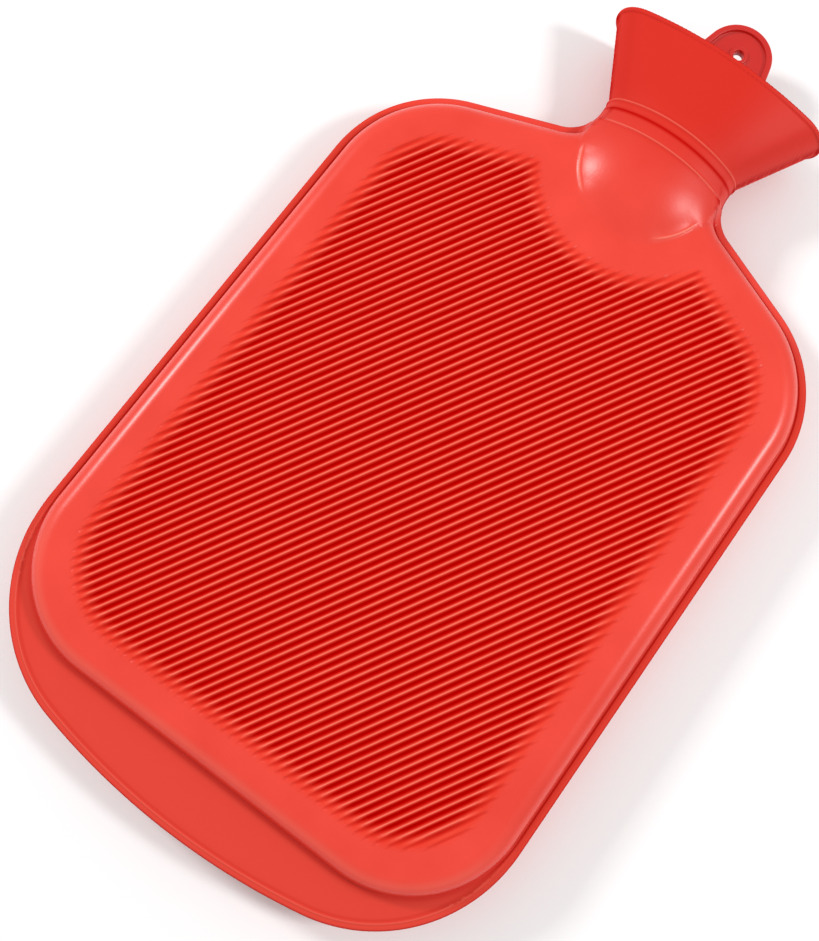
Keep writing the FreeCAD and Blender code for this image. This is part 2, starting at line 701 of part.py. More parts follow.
groove_lines.Placement = FreeCAD.Placement(
    Vector(0, 0, (PART_Z + size("front_rise")).number),
    FreeCAD.Rotation(Vector(0, 0, 1), sheet.rib_angle - 90),
)
groove_lines.setExpression("Placement.Base.z", (PART_Z + size("front_rise")).text)
groove_lines.setExpression("Placement.Rotation.Angle", "sizes.rib_angle - 90")
doc.recompute()

field_body = new_body("groove_field")
fade_slope = size("rib_fade") / size("groove_depth")
field_sections = [
    draw_rib_field(
        new_sketch(field_body, "field_top", "XY_Plane", size("front_rise") + size("groove_reach") * 1.1),
        -fade_slope * size("groove_reach") * 1.1,
    ),
    draw_rib_field(
        new_sketch(field_body, "field_floor", "XY_Plane", size("front_rise") - size("groove_depth") * 1.1),
        size("rib_fade") * 1.1,
    ),
]
new_loft(field_body, "field_loft", field_sections)
grooves = doc.addObject("Part::MultiCommon", "grooves")
grooves.Shapes = [groove_lines, field_body]
doc.recompute()
insides.append(grooves)

# The passage: cavity, throat, seat of the bush, and the inside of the funnel.
def bush_outline(y_low, y_high):
    """The bush's outside, with the groove that keys it into the rubber."""
    groove_low = (y_low + y_high) / 2 - size("bush_groove_width") / 2
    groove_high = groove_low + size("bush_groove_width")
    return [
        (size("bush_r"), y_low),
        (size("bush_r"), groove_low),
        (size("bush_groove_r"), groove_low),
        (size("bush_groove_r"), groove_high),
        (size("bush_r"), groove_high),
        (size("bush_r"), y_high),
    ]


passage_body = new_body("passage")
passage_sketch = new_sketch(passage_body, "passage_profile", "XY_Plane")
THROAT_FOOT_Y = CAVITY_TOP_Y - WALL
draw_profile(
    passage_sketch,
    [
        (ZERO, THROAT_FOOT_Y),
        (size("throat_r"), THROAT_FOOT_Y),
        (size("throat_r"), BUSH_FOOT_Y),
        *bush_outline(BUSH_FOOT_Y, BUSH_TOP_Y),
        (ZERO, BUSH_TOP_Y),
    ],
)
revolve(passage_body, passage_sketch, "passage_turn")
insides.append(passage_body)

mouth_body = new_body("mouth")
NECK_WALL = size("neck_wall")
mouth_sections = [
    draw_oval(
        new_section(mouth_body, "mouth_floor", BUSH_TOP_Y),
        size("neck_half_width") - NECK_WALL,
        size("neck_half_depth") - NECK_WALL,
    ),
    draw_oval(
        new_section(mouth_body, "mouth_rim", RIM_Y + size("rim_edge_r")),
        size("rim_half_width") - size("rim_wall"),
        RIM_HALF_DEPTH - size("rim_wall"),
        RIM_LIFT,
    ),
]
new_loft(mouth_body, "mouth_loft", mouth_sections)
insides.append(mouth_body)

outside = fuse("outside", outsides)
inside = fuse("inside", insides)
bottle = doc.addObject("Part::Cut", "bottle_body")
bottle.Label = "bottle_body"
bottle.Base = outside
bottle.Tool = inside
bottle.Placement = FreeCAD.Placement(Vector(0, 0, 0), FreeCAD.Rotation())
doc.recompute()

# The threaded brass bush.
bush = new_body("neck_bush")
bush_sketch = new_sketch(bush, "bush_profile", "XY_Plane")
bore_r = size("bore_r")
draw_profile(
    bush_sketch,
    [(bore_r, BUSH_FOOT_Y), *bush_outline(BUSH_FOOT_Y, BUSH_TOP_Y), (bore_r, BUSH_TOP_Y)],
)
revolve(bush, bush_sketch, "bush_turn")

# The rubber washer that the stopper carries.
washer = new_body("seal_washer")
washer_sketch = new_sketch(washer, "washer_profile", "XY_Plane")
washer_bore = size("washer_bore_r")
draw_profile(
    washer_sketch,
    [
        (washer_bore, BUSH_TOP_Y),
        (size("washer_r"), BUSH_TOP_Y),
        (size("washer_r"), WASHER_TOP_Y),
        (washer_bore, WASHER_TOP_Y),
    ],
)
revolve(washer, washer_sketch, "washer_turn")

# The stopper: a hollow shank, a round head that presses the washer down, and a flat handle.
stopper = new_body("stopper")
SHANK_END_Y = WASHER_TOP_Y - size("shank_length")
shank_r = size("bore_r") - size("shank_gap")
chamfer = size("shank_chamfer")
plug_sketch = new_sketch(stopper, "plug_profile", "XY_Plane")
draw_profile(
    plug_sketch,
    [
        (size("shank_bore_r"), SHANK_END_Y),
        (shank_r - chamfer, SHANK_END_Y),
        (shank_r, SHANK_END_Y + chamfer),
        (shank_r, WASHER_TOP_Y),
        (size("head_r"), WASHER_TOP_Y),
        (size("head_r"), HEAD_TOP_Y),
        (ZERO, HEAD_TOP_Y),
        (ZERO, SHANK_END_Y + size("shank_bore_depth")),
        (size("shank_bore_r"), SHANK_END_Y + size("shank_bore_depth")),
    ],
)
revolve(stopper, plug_sketch, "plug")
web_sketch = draw_hole(
    draw_handle(new_sketch(stopper, "web_outline", "XY_Plane"), ZERO), size("hang_hole_r")
)
new_pad(stopper, web_sketch, "web", size("handle_web"), "both")
band_sketch = draw_handle(new_sketch(stopper, "band_outline", "XY_Plane"), ZERO)
draw_handle(band_sketch, size("handle_rim"))
new_pad(stopper, band_sketch, "band", size("handle_thick"), "both")
collar_sketch = draw_hole(new_sketch(stopper, "collar_outline", "XY_Plane"), size("hang_hole_r"))
draw_hole(collar_sketch, size("hang_hole_r") + size("hang_collar"))
new_pad(stopper, collar_sketch, "collar", size("handle_thick") - size("rim_edge_r"), "both")

doc.recompute()
for thing in doc.Objects:
    if {"Invalid", "Error"} & set(thing.State):
        raise RuntimeError(f"{thing.Name} did not recompute: {thing.State}")

os.makedirs("parts", exist_ok=True)
for piece in (bottle, bush, washer, stopper):
    if piece.Shape.isNull() or not piece.Shape.isValid():
        raise RuntimeError(f"{piece.Label} has no valid shape")
    if len(piece.Shape.Solids) != 1:
        raise RuntimeError(f"{piece.Label} has {len(piece.Shape.Solids)} solids")
    piece.Shape.exportStep(os.path.join("parts", f"{piece.Label}.step"))
    print(piece.Label, round(piece.Shape.Volume), len(piece.Shape.Faces))
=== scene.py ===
"""A rubber hot water bottle with a ribbed front, lying on its back on a white ground.

Lengths in the shape functions are millimetres in the model's frame: X across the bottle, Y towards
its mouth, Z up. The seam's plane is at PART_Z. The pieces are scaled to metres when they are made.
"""

import math

import bmesh
import bpy
import numpy as np
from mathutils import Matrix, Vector, kdtree
from mathutils.geometry import delaunay_2d_cdt


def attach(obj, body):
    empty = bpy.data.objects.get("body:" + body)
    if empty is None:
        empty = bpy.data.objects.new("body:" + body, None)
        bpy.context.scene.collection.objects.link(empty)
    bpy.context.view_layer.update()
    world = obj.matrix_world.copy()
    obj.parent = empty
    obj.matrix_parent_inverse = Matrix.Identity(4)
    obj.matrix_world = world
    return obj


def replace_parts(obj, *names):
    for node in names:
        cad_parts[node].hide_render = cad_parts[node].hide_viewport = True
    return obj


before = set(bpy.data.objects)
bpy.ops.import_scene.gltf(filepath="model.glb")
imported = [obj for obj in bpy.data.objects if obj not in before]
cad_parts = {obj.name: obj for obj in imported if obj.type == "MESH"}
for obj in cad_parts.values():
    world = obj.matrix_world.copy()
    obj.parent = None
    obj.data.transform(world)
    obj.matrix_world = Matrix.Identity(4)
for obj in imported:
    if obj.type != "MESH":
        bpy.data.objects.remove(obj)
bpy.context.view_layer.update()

MM = 0.001
PART_Z = 17.5
FOOT_Y = -141.0

# outline of the moulding
HALF_WIDTH = 98.9
FOOT_CORNER_R = 57.9
FOOT_BULGE = 4.3
SHOULDER_HALF_WIDTH = 95.8
SHOULDER_TOP = 266.2
SHOULDER_R = 45.7
ROOT_CENTRE_X = 40.7
ROOT_Y = 146.5
SEAM_WIDTH = 3.3
FLAP_WIDTH = 22.9
CHAMBER_CORNER_R = 42.0

# steps between points of arcs and lines, finer on the root's small arc
ARC_STEP = 1.6
ROOT_STEP = 0.8
LINE_STEP = 2.0

# the foot flap fades into the long sides over this distance below the middle
FLAP_FADE = (70, 95)

# section of the seam, with a bead along the flap and a groove beside the chamber's long sides;
# the bead lies inside the outline and the groove outside the chamber
SEAM_HALF_THICKNESS = 0.3
SEAM_EDGE_R = 1.2
BEAD = 2.6
BEAD_RISE = 0.4
BEAD_SPREAD = 0.4
SIDE_GROOVE = -0.35
SIDE_GROOVE_DEPTH = 0.45
SIDE_GROOVE_SPREAD = 0.3

# the flap's swell into the chamber's foot
SWELL_RISE = 1.5
SWELL_END = 0.7
SWELL_WIDTH = 4

# the front and the back of the chamber; a steep wall needs a little width
FRONT_RISE = 10.0
FRONT_EDGE_R = 7.0
LEDGE_RISE = 2.3
LEDGE_WIDTH = 0.65
WALL_RUN = 0.1
BACK_DROP = 17.5
BACK_EDGE_R = 12.0
BACK_WALL_RUN = 0.15

# grooves that leave the ribs between them; a power below 1 widens their section
RIB_PITCH = 2.74
GROOVE_DEPTH = 1.2
GROOVE_ROUND = 0.7
RIB_ANGLE = math.radians(60.2)
RIB_ALONG = np.array([math.cos(RIB_ANGLE), math.sin(RIB_ANGLE)])
RIB_ACROSS = np.array([math.sin(RIB_ANGLE), -math.cos(RIB_ANGLE)])
RIB_MARGIN = 15.6
RIB_FADE = 8.0
RIB_CORNER_R = 30.0
RIB_FOOT_GAP = 16.0
RIB_NECK_R = 39.0
RIB_TIP = 2.4

# the dome, how steeply it falls below its foot, and its folds, which fade in and out at angles
# below the dome's sides, in degrees
DOME_Y = 134.6
DOME_FOOT_R = 24.4
DOME_TOP = 17.2
DOME_FALL = 4
DOME_BLEND = 3.3
FOLD_START = (12, 22)
FOLD_END = (44, 58)
FOLD_GAP = 0.2
FOLD_SPREAD = 0.35
FOLD_RISE = 0.25
FOLD_TIGHTER = 1.3

# the neck's root: half-width and half-depth where it starts, how its depth grows, how steeply it
# falls beside itself and below its start, and where it takes over the chamber's back
NECK_FOOT_Y = 119.0
NECK_FOOT_X = 24.5
NECK_FOOT_Z = 8.5
ROOT_GROWTH = (-0.35, 1.0)
ROOT_FALL = 2
ROOT_DROP = 25
ROOT_BLEND = 1.0
BACK_ROOT_LOW = 118
BACK_ROOT_HIGH = 140

# neck, ring lines and funnel
NECK_X = 27.1
NECK_Z = 17.5
OVAL_ROUND = 0.75
RING_Y = 141.0
HIGH_RING_Y = 150.2
RING_RISE = 0.5
RING_SPREAD = 0.45
RING_ZONE = 1.5
FUNNEL_FOOT_Y = 151.3
RIM_Y = 180.1
RIM_X = 43.6
RIM_FRONT = 21.0
RIM_Z = (RIM_FRONT + NECK_Z) / 2
RIM_LIFT = (RIM_FRONT - NECK_Z) / 2
LIP_WIDTH = 2.0
LIP_RISE = 0.4
LIP_R = 0.8
# how far the cone is drawn in where the lip's edge is rounded
LIP_HIDES = 3

# inside of the funnel, seat of the bush and blind throat
MOUTH_FLOOR_Y = 151.4
NECK_WALL = 3.0
RIM_WALL = 2.6
FLOOR_INSET = 0.3
BUSH_R = 14.0
SEAT_R = BUSH_R + 0.02
SEAT_FLOOR_Y = 128.0
THROAT_R = 9.0
THROAT_TOP_Y = 127.5
THROAT_FLOOR_Y = 112.0
# the rounded edge of the mouth, as steps into it and outwards, and where its wall has sections
MOUTH_EDGE = ((0.0, 0.55), (0.07, 0.3), (0.2, 0.12), (0.5, 0.0))
MOUTH_SHARES = (0.97, 0.9, 0.8, 0.7, 0.6, 0.5, 0.4, 0.3, 0.2, 0.1, 0.04, 0.01)

# the screw's thread: steps to a turn, half-widths of the ridge at its foot and its tip, and how
# deep its foot is sunk; it grows from its least height at both ends over the run-in's steps
THREAD_PITCH = 4.0
THREAD_STEPS = 40
THREAD_FOOT = 1.2
THREAD_TIP = 0.45
THREAD_SINK = 0.2
THREAD_LEAST = 0.1
THREAD_RUN_IN = THREAD_STEPS / 3
# its ridge on the stopper's shank, whose solid is plain and thicker, and its ridge in the bush
SHANK_R = 9.4
SHANK_CORE_R = 8.2
SHANK_LOW = 136.4
SHANK_HIGH = 152.0
WASHER_TOP_Y = 153.9
BORE_R = 9.7
BORE_TIP_R = 8.5
BUSH_LOW = 133.6
BUSH_HIGH = 149.8
# how near the washer's top and the shank's radius points of the solid are taken as theirs
WASHER_SLACK = 0.05
SHANK_SLACK = 0.1

# how far a point of the silhouette may lie outside it, because the triangulation rounds
EDGE_SLACK = 1e-3
# how far the slope is probed, and how near the silhouette it isn't
PROBE = 0.03
EDGE_ZONE = 1.5
# a height below every surface, for places that a shape doesn't reach
NOWHERE = -5.0
# keeps divisions by the length of a segment finite
TINY = 1e-12
# points whose distances are found at once
BATCH = 4000
# how far from the middle an outline's first point may lie and still be on it
ON_MIDDLE = 1e-9
# distances in metres within which points of a mesh are joined and faces count as flat
JOINED = 2e-6
FLAT = 1e-6
# angles up to which CAD faces are joined, from which edges are bevelled, and from which they
# stay sharp in the shading
FLAT_ANGLE = math.radians(1)
BEVEL_ANGLE = math.radians(30)
SHARP_ANGLE = math.radians(32)


# The look: how strong its lines of painted shade and painted highlight are, with their place and
# their half-width, and the spans over which its parts fade. The funnel is less matt on its right.
PLAIN_SHADE = 0.5
# painted shade in the grooves
GROOVE_PAINTED_SHADE = 1.35
# painted shade along the silhouette's edge, where the side walls lie in shadow
RIM_PAINTED_SHADE = 0.9
RIM_SPAN = (0.1, 0.7)
# painted shade in the seam's groove and at the ledge beside the long sides, and at the chamber's
# foot above the flap
SIDE_PAINTED_SHADE = ((0.8, SIDE_GROOVE, 0.35), (0.5, 0.6, 0.25))
FLAP_PAINTED_SHADE = ((0.55, 0.5, 1.5),)
# painted shade beside the flap's bead, and a painted highlight on the bead
BEAD_PAINTED_SHADE = ((0.3, BEAD + 0.9, 0.6),)
BEAD_PAINTED_HIGHLIGHT = ((0.3, BEAD, 0.3),)
# painted highlight on the chamber's rounded edge above the flap
FLAP_PAINTED_HIGHLIGHT = ((0.22, 4.5, 1.4),)
# painted highlight along the dome's fold
FOLD_PAINTED_HIGHLIGHT = 0.8
# painted highlight along the ribs' crests
CREST_SHARP = 6
CREST_SPAN = (0.3, 0.9)
# painted highlight on the ring lines and painted shade just below them
RING_PAINTED_HIGHLIGHT = 0.5
RING_HIGHLIGHT_SPREAD = 0.3
RING_PAINTED_SHADE = 0.15
RING_SHADE_GAP = 0.85
RING_SHADE_SPREAD = 0.4
SEAM_PALE = 0.45
SEAM_SPAN = (-0.8, 0.4)
SEAM_TOP_SPAN = (100, 130)
FUNNEL_SPAN = (118, 158)
FIELD_SPAN = (-RIB_TIP, 0.6)
FUNNEL_GLOSS = 0.35
FUNNEL_GLOSS_SPAN = (8, 26)
# the look inside the mouth: a little painted shade, the funnel's tint, and mostly matt
INSIDE_LOOK = (0.45, 1.0, 0.8)


def smoothstep(value, low, high):
    """A soft step from 0 at low to 1 at high."""
    t = np.clip((value - low) / (high - low), 0, 1)
    return t * t * (3 - 2 * t)


def soft_max(a, b, k):
    """The larger of two heights, rounded over k where they cross."""
    h = np.clip(0.5 + 0.5 * (a - b) / k, 0, 1)
    return b * (1 - h) + a * h + k * h * (1 - h)


def ridge(distance, place, width):
    """A rounded ridge of height 1."""
    return np.exp(-(((distance - place) / width) ** 2))


def tangent_normal(first, second):
    """Outward normal angle of the line that touches two circles (x, y, r) on their right."""
    dx = second[0] - first[0]
    dy = second[1] - first[1]
    turn = math.acos((first[2] - second[2]) / math.hypot(dx, dy))
    return math.atan2(dy, dx) - turn


def arc(x, y, r, start, end, step=ARC_STEP, base_r=None):
    """Points of an arc, as many as one of base_r has, so that concentric arcs match."""
    count = max(int(abs(end - start) * (base_r or r) / step), 4)
    angles = np.linspace(start, end, count + 1)
    return np.c_[x + r * np.cos(angles), y + r * np.sin(angles)]


def line(start, end):
    """Points of a straight line."""
    count = max(int(np.hypot(*(np.array(end) - start)) / LINE_STEP), 1)
    share = np.linspace(0, 1, count + 1)[:, None]
    return np.array(start) * (1 - share) + np.array(end) * share


def right_side(inset, corner=None):
    """The right half of an outline, from the middle of the foot to the foot of the neck.

    Its foot bulges like the moulding's, or is straight between corners (x, y, r) where they are
    given."""
    shoulder = (
        SHOULDER_HALF_WIDTH - SHOULDER_R,
        FOOT_Y + SHOULDER_TOP - SHOULDER_R,
        SHOULDER_R - inset,
    )
    root = (ROOT_CENTRE_X, ROOT_Y, ROOT_CENTRE_X - NECK_X + inset)
    parts = []
    if corner is None:
        corner = (
            HALF_WIDTH - FOOT_CORNER_R,
            FOOT_Y + FOOT_CORNER_R + FOOT_BULGE,
            FOOT_CORNER_R - inset,
        )
        rise = corner[1] - FOOT_Y - inset
        foot_r = (corner[0] ** 2 + rise**2 - corner[2] ** 2) / (2 * (rise - corner[2]))
        foot_angle = math.atan2(rise - foot_r, corner[0])
        foot_y = FOOT_Y + inset + foot_r
        parts.append(arc(0, foot_y, foot_r, -math.pi / 2, foot_angle, base_r=foot_r + inset))
    else:
        foot_angle = -math.pi / 2
        parts.append(line((0, corner[1] - corner[2]), (corner[0], corner[1] - corner[2])))
    side = tangent_normal(corner, shoulder)
    slope = tangent_normal(shoulder, (root[0], root[1], -root[2]))
    parts.append(arc(*corner, foot_angle, side, base_r=corner[2] + inset))
    shoulder_arc = arc(*shoulder, side, slope, base_r=SHOULDER_R)
    root_arc = arc(*root, slope + math.pi, math.pi, ROOT_STEP, root[2] - inset)
    parts.append(line(parts[-1][-1], shoulder_arc[0]))
    parts.append(shoulder_arc)
    parts.append(line(shoulder_arc[-1], root_arc[0]))
    parts.append(root_arc)
    return parts


def chain(parts):
    """One run of points through parts that meet end to end."""
    return np.concatenate([parts[0]] + [p[1:] for p in parts[1:]])


def mirrored(half):
    """A closed ring from its right half, which starts at the middle of the foot."""
    other = half[::-1] * (-1, 1)
    return np.concatenate([half, other[:-1] if abs(half[0, 0]) < ON_MIDDLE else other])


CHAMBER_CORNER = (
    HALF_WIDTH - SEAM_WIDTH - CHAMBER_CORNER_R,
    FOOT_Y + FLAP_WIDTH + CHAMBER_CORNER_R,
)


def at_outline(inset):
    """The right half of the moulding's outline, inset."""
    return chain(right_side(inset))


def at_chamber(inset):
    """The right half of the chamber's outline, inset."""
    return chain(right_side(SEAM_WIDTH + inset, (*CHAMBER_CORNER, CHAMBER_CORNER_R - inset)))


def rib_field():
    """Closed outline of the ribbed field, where the ribs run out."""
    total = SEAM_WIDTH + RIB_MARGIN
    half = HALF_WIDTH - total
    foot = FOOT_Y + FLAP_WIDTH + RIB_FOOT_GAP
    corner = (half - RIB_CORNER_R, foot + RIB_CORNER_R, RIB_CORNER_R)
    parts = right_side(total, corner)[:-2]
    normal = tangent_normal(
        (SHOULDER_HALF_WIDTH - SHOULDER_R, FOOT_Y + SHOULDER_TOP - SHOULDER_R, SHOULDER_R),
        (ROOT_CENTRE_X, ROOT_Y, -(ROOT_CENTRE_X - NECK_X)),
    )
    away = np.array([-math.sin(normal), math.cos(normal)])
    start = parts[-1][-1]
    from_dome = start - (0, DOME_Y)
    across = from_dome @ away
    run = -across - math.sqrt(across**2 - from_dome @ from_dome + RIB_NECK_R**2)
    end = start + away * run
    parts.append(line(start, end))
    end_angle = math.atan2(end[1] - DOME_Y, end[0])
    parts.append(arc(0, DOME_Y, RIB_NECK_R, end_angle, -math.pi / 2))
    return mirrored(chain(parts))


outline_half = at_outline(0)
outline_ring = mirrored(outline_half)
chamber_ring = mirrored(at_chamber(0))
field_ring = rib_field()


def distance_inside(points, ring):
    """Distance of points to a closed ring, positive inside it."""
    a = ring
    ab = np.roll(ring, -1, axis=0) - a
    length2 = (ab**2).sum(1) + TINY
    out = np.empty(len(points))
    for start in range(0, len(points), BATCH):
        p = points[start : start + BATCH]
        ap = p[:, None, :] - a[None]
        t = np.clip((ap * ab).sum(2) / length2, 0, 1)
        gap = ap - t[..., None] * ab
        near = np.sqrt((gap**2).sum(2).min(1))
        rises = (a[:, 1] > p[:, 1:2]) != ((a + ab)[:, 1] > p[:, 1:2])
        dy = np.where(ab[:, 1] == 0, TINY, ab[:, 1])
        cross_x = a[:, 0] + (p[:, 1:2] - a[:, 1]) * ab[:, 0] / dy
        inside = (rises & (p[:, 0:1] < cross_x)).sum(1) % 2 == 1
        out[start : start + BATCH] = np.where(inside, near, -near)
    return out


def oval_height(x, a, b):
    """Height over its middle of an oval of four arcs, a wide and b high, at x."""
    r = OVAL_ROUND * b
    top_r = (a * a + b * b - 2 * a * r) / (2 * (b - r))
    reach = np.hypot(a - r, top_r - b)
    turn_x = (a - r) * top_r / reach
    x = np.minimum(np.abs(x), a)
    over = b - top_r + np.sqrt(np.maximum(top_r**2 - x**2, 0))
    side = np.sqrt(np.maximum(r**2 - (x - (a - r)) ** 2, 0))
    return np.where(x < turn_x, over, side)


def neck_oval(y):
    """Half-width, half-depth and lift of the neck's or funnel's section at y."""
    t = np.clip((y - FUNNEL_FOOT_Y) / (RIM_Y - LIP_WIDTH / 2 - FUNNEL_FOOT_Y), 0, 1)
    on_funnel = y >= FUNNEL_FOOT_Y
    foot = RING_RISE / 2
    a = np.where(on_funnel, NECK_X + foot + (RIM_X - LIP_RISE - NECK_X - foot) * t, NECK_X)
    b = np.where(on_funnel, NECK_Z + foot + (RIM_Z - LIP_RISE - NECK_Z - foot) * t, NECK_Z)
    lift = RIM_LIFT * t
    for ring_y in (RING_Y, HIGH_RING_Y):
        bump = RING_RISE * ridge(y, ring_y, RING_SPREAD)
        a = a + bump
        b = b + bump
    low = RIM_Y - LIP_WIDTH
    inner = np.minimum(y - low, RIM_Y - y)
    cut = LIP_R - np.sqrt(np.maximum(LIP_R**2 - np.maximum(LIP_R - inner, 0) ** 2, 0))
    on_lip = y >= low
    hidden = LIP_HIDES * (y > RIM_Y - LIP_R)
    a = np.where(on_lip, np.maximum(RIM_X - cut, a - hidden), a)
    b = np.where(on_lip, np.maximum(RIM_Z - cut, b - hidden), b)
    return a, b, lift


def rib_pattern(points, inside):
    """How deep the grooves are, and how much each point is a rib's crest, both 0 to 1.

    The grooves run out in points at the edge of their field."""
    across = points @ RIB_ACROSS / RIB_PITCH
    wave = 0.5 + 0.5 * np.cos(2 * math.pi * across)
    share = np.clip((inside + RIB_TIP) / RIB_FADE, 0, 1)
    groove = np.maximum(wave**GROOVE_ROUND - (1 - share), 0)
    # how much a point lies on a crest, where the painted highlight goes
    crest = (1 - wave) ** CREST_SHARP * smoothstep(share, *CREST_SPAN)
    return groove, crest


def root_height(points):
    """The neck's root, which grows out of the chamber towards the low ring."""
    x, y = points[:, 0], points[:, 1]
    t = (y - NECK_FOOT_Y) / (RING_Y - NECK_FOOT_Y)
    on_root = np.clip(t, 0, 1)
    a = NECK_FOOT_X + (NECK_X - NECK_FOOT_X) * on_root
    b = NECK_FOOT_Z + (NECK_Z - NECK_FOOT_Z) * smoothstep(on_root, *ROOT_GROWTH)
    outside = np.maximum(np.abs(x) - a, 0)
    return oval_height(x, a, b) - ROOT_FALL * outside - ROOT_DROP * np.maximum(-t, 0)


def dome_height(points):
    """The cap of a sphere that stands on the chamber below the neck, and the radius of points."""
    rho = np.hypot(points[:, 0], points[:, 1] - DOME_Y)
    rise = DOME_TOP - FRONT_RISE
    radius = (DOME_FOOT_R**2 + rise**2) / (2 * rise)
    cap = DOME_TOP - radius + np.sqrt(np.maximum(radius**2 - rho**2, 0))
    foot = FRONT_RISE - GROOVE_DEPTH
    return np.where(cap < foot, foot - DOME_FALL * (foot - cap), cap), rho


def flap_share(points):
    """1 on the foot flap, 0 on the long sides."""
    return smoothstep(-points[:, 1], *FLAP_FADE)


def funnel_share(y):
    """1 near the rim, 0 below the neck."""
    return smoothstep(y, *FUNNEL_SPAN)


def drawn(distance, lines):
    """How strong lines are at a distance: each has its strength, its place and its half-width."""
    return sum(strength * ridge(distance, place, width) for strength, place, width in lines)


def seam_height(points, edge):
    """Half-thickness of the seam at a distance from its edge, with a fine bead along the flap."""
    rounding = np.sqrt(np.maximum(SEAM_EDGE_R**2 - np.maximum(SEAM_EDGE_R - edge, 0) ** 2, 0))
    bead = BEAD_RISE * flap_share(points) * ridge(edge, BEAD, BEAD_SPREAD)
    return SEAM_HALF_THICKNESS + rounding + bead


def edge_bend(inside, radius):
    """Height of the rounded edge of a chamber's face at a distance inside its wall."""
    run = np.clip(radius - inside, 0, radius)
    return np.sqrt(np.maximum(radius**2 - run**2, 0))


def chamber_front(points, edge, dc, flap, groove):
    """Height of the seam, the chamber's wall and its ribbed face."""
    z = seam_height(points, np.maximum(edge, 0))
    z = z - SIDE_GROOVE_DEPTH * (1 - flap) * ridge(dc, SIDE_GROOVE, SIDE_GROOVE_SPREAD)
    z = z + SWELL_RISE * flap * np.clip(1 + (dc - SWELL_END) / SWELL_WIDTH, 0, 1) ** 2
    ledge = np.clip(dc / WALL_RUN, 0, 1) * LEDGE_RISE * (1 - flap)
    wall = np.clip((dc - LEDGE_WIDTH) / WALL_RUN, 0, 1)
    bend = edge_bend(dc - LEDGE_WIDTH, FRONT_EDGE_R)
    chamber = np.maximum(ledge, wall * (FRONT_RISE - FRONT_EDGE_R + bend))
    at_foot = np.where(dc > 0, np.maximum(z, chamber), z)
    return np.where(dc > LEDGE_WIDTH + WALL_RUN, chamber, at_foot) - GROOVE_DEPTH * groove


def front_look(points, edge, dc, flap, half_width, in_field, groove, crest, fold):
    """Painted light, tint and mattness of the front.

    The painted light is 0 for painted shade, deepest in a groove, 0.5 where it is plain and 1 for a
    painted highlight on a crest. The tint is 1 on the funnel, 0 on the chamber and below 0 on the
    seam. The last part is how matt the rubber is."""
    x, y = points[:, 0], points[:, 1]
    rim = np.where(y > ROOT_Y, np.minimum(half_width - np.abs(x), RIM_Y - y), edge)
    # low sums the painted shade: grooves, edge, creases, bead; high sums the painted highlights
    low = GROOVE_PAINTED_SHADE * groove + RIM_PAINTED_SHADE * (1 - smoothstep(rim, *RIM_SPAN))
    low = low + (1 - flap) * drawn(dc, SIDE_PAINTED_SHADE)
    low = low + flap * (drawn(dc, FLAP_PAINTED_SHADE) + drawn(edge, BEAD_PAINTED_SHADE))
    high = crest + FOLD_PAINTED_HIGHLIGHT * fold + flap * (drawn(edge, BEAD_PAINTED_HIGHLIGHT) + drawn(dc, FLAP_PAINTED_HIGHLIGHT))
    across_neck = np.abs(x) < half_width
    # painted highlight on each ring line and painted shade just below it
    for ring_y in (RING_Y, HIGH_RING_Y):
        ring_highlight = ridge(y, ring_y, RING_HIGHLIGHT_SPREAD)
        ring_shade = ridge(y, ring_y - RING_SHADE_GAP, RING_SHADE_SPREAD)
        high = high + RING_PAINTED_HIGHLIGHT * ring_highlight * across_neck
        low = low + RING_PAINTED_SHADE * ring_shade * across_neck
    painted_light = np.clip(PLAIN_SHADE * (1 + high - np.minimum(low, 1)), 0, 1)
    on_seam = (y < ROOT_Y) * (1 - smoothstep(dc, *SEAM_SPAN)) * (1 - smoothstep(y, *SEAM_TOP_SPAN))
    # tint: darker towards the funnel, paler on the seam and the flap
    funnel = funnel_share(y)
    tint = funnel - (SEAM_PALE + (1 - SEAM_PALE) * flap) * on_seam
    matt = np.maximum(on_seam, smoothstep(in_field, *FIELD_SPAN))
    matt = np.maximum(matt, funnel * (1 - FUNNEL_GLOSS * smoothstep(x, *FUNNEL_GLOSS_SPAN)))
    return np.c_[painted_light, tint, matt]


def front_height(points):
    """Height over the seam's plane, and the look."""
    x, y = points[:, 0], points[:, 1]
    edge = distance_inside(points, outline_ring)
    dc = distance_inside(points, chamber_ring)
    flap = flap_share(points)
    in_field = distance_inside(points, field_ring)
    groove, crest = rib_pattern(points, in_field)
    z = chamber_front(points, edge, dc, flap, groove)

    dome, rho = dome_height(points)
    angle = np.degrees(np.arctan2(DOME_Y - y, np.abs(x)))
    crisp = smoothstep(angle, *FOLD_START) * (1 - smoothstep(angle, *FOLD_END))
    bulge = soft_max(dome, root_height(points), ROOT_BLEND)
    fold = crisp * ridge(rho, DOME_FOOT_R + FOLD_GAP, FOLD_SPREAD)
    bulged = soft_max(bulge, z, DOME_BLEND - FOLD_TIGHTER * crisp) + FOLD_RISE * fold
    a, b, lift = neck_oval(y)
    neck = np.where(np.abs(x) <= a + EDGE_SLACK, lift + oval_height(x, a, b), NOWHERE)
    on_neck = np.where(y > ROOT_Y - EDGE_SLACK, neck, np.maximum(z, neck))
    near_ring = np.where(y > RING_Y - RING_ZONE, np.maximum(bulged, neck), bulged)
    look = front_look(points, edge, dc, flap, a, in_field, groove, crest, fold)
    return np.where(y > RING_Y, on_neck, near_ring), look


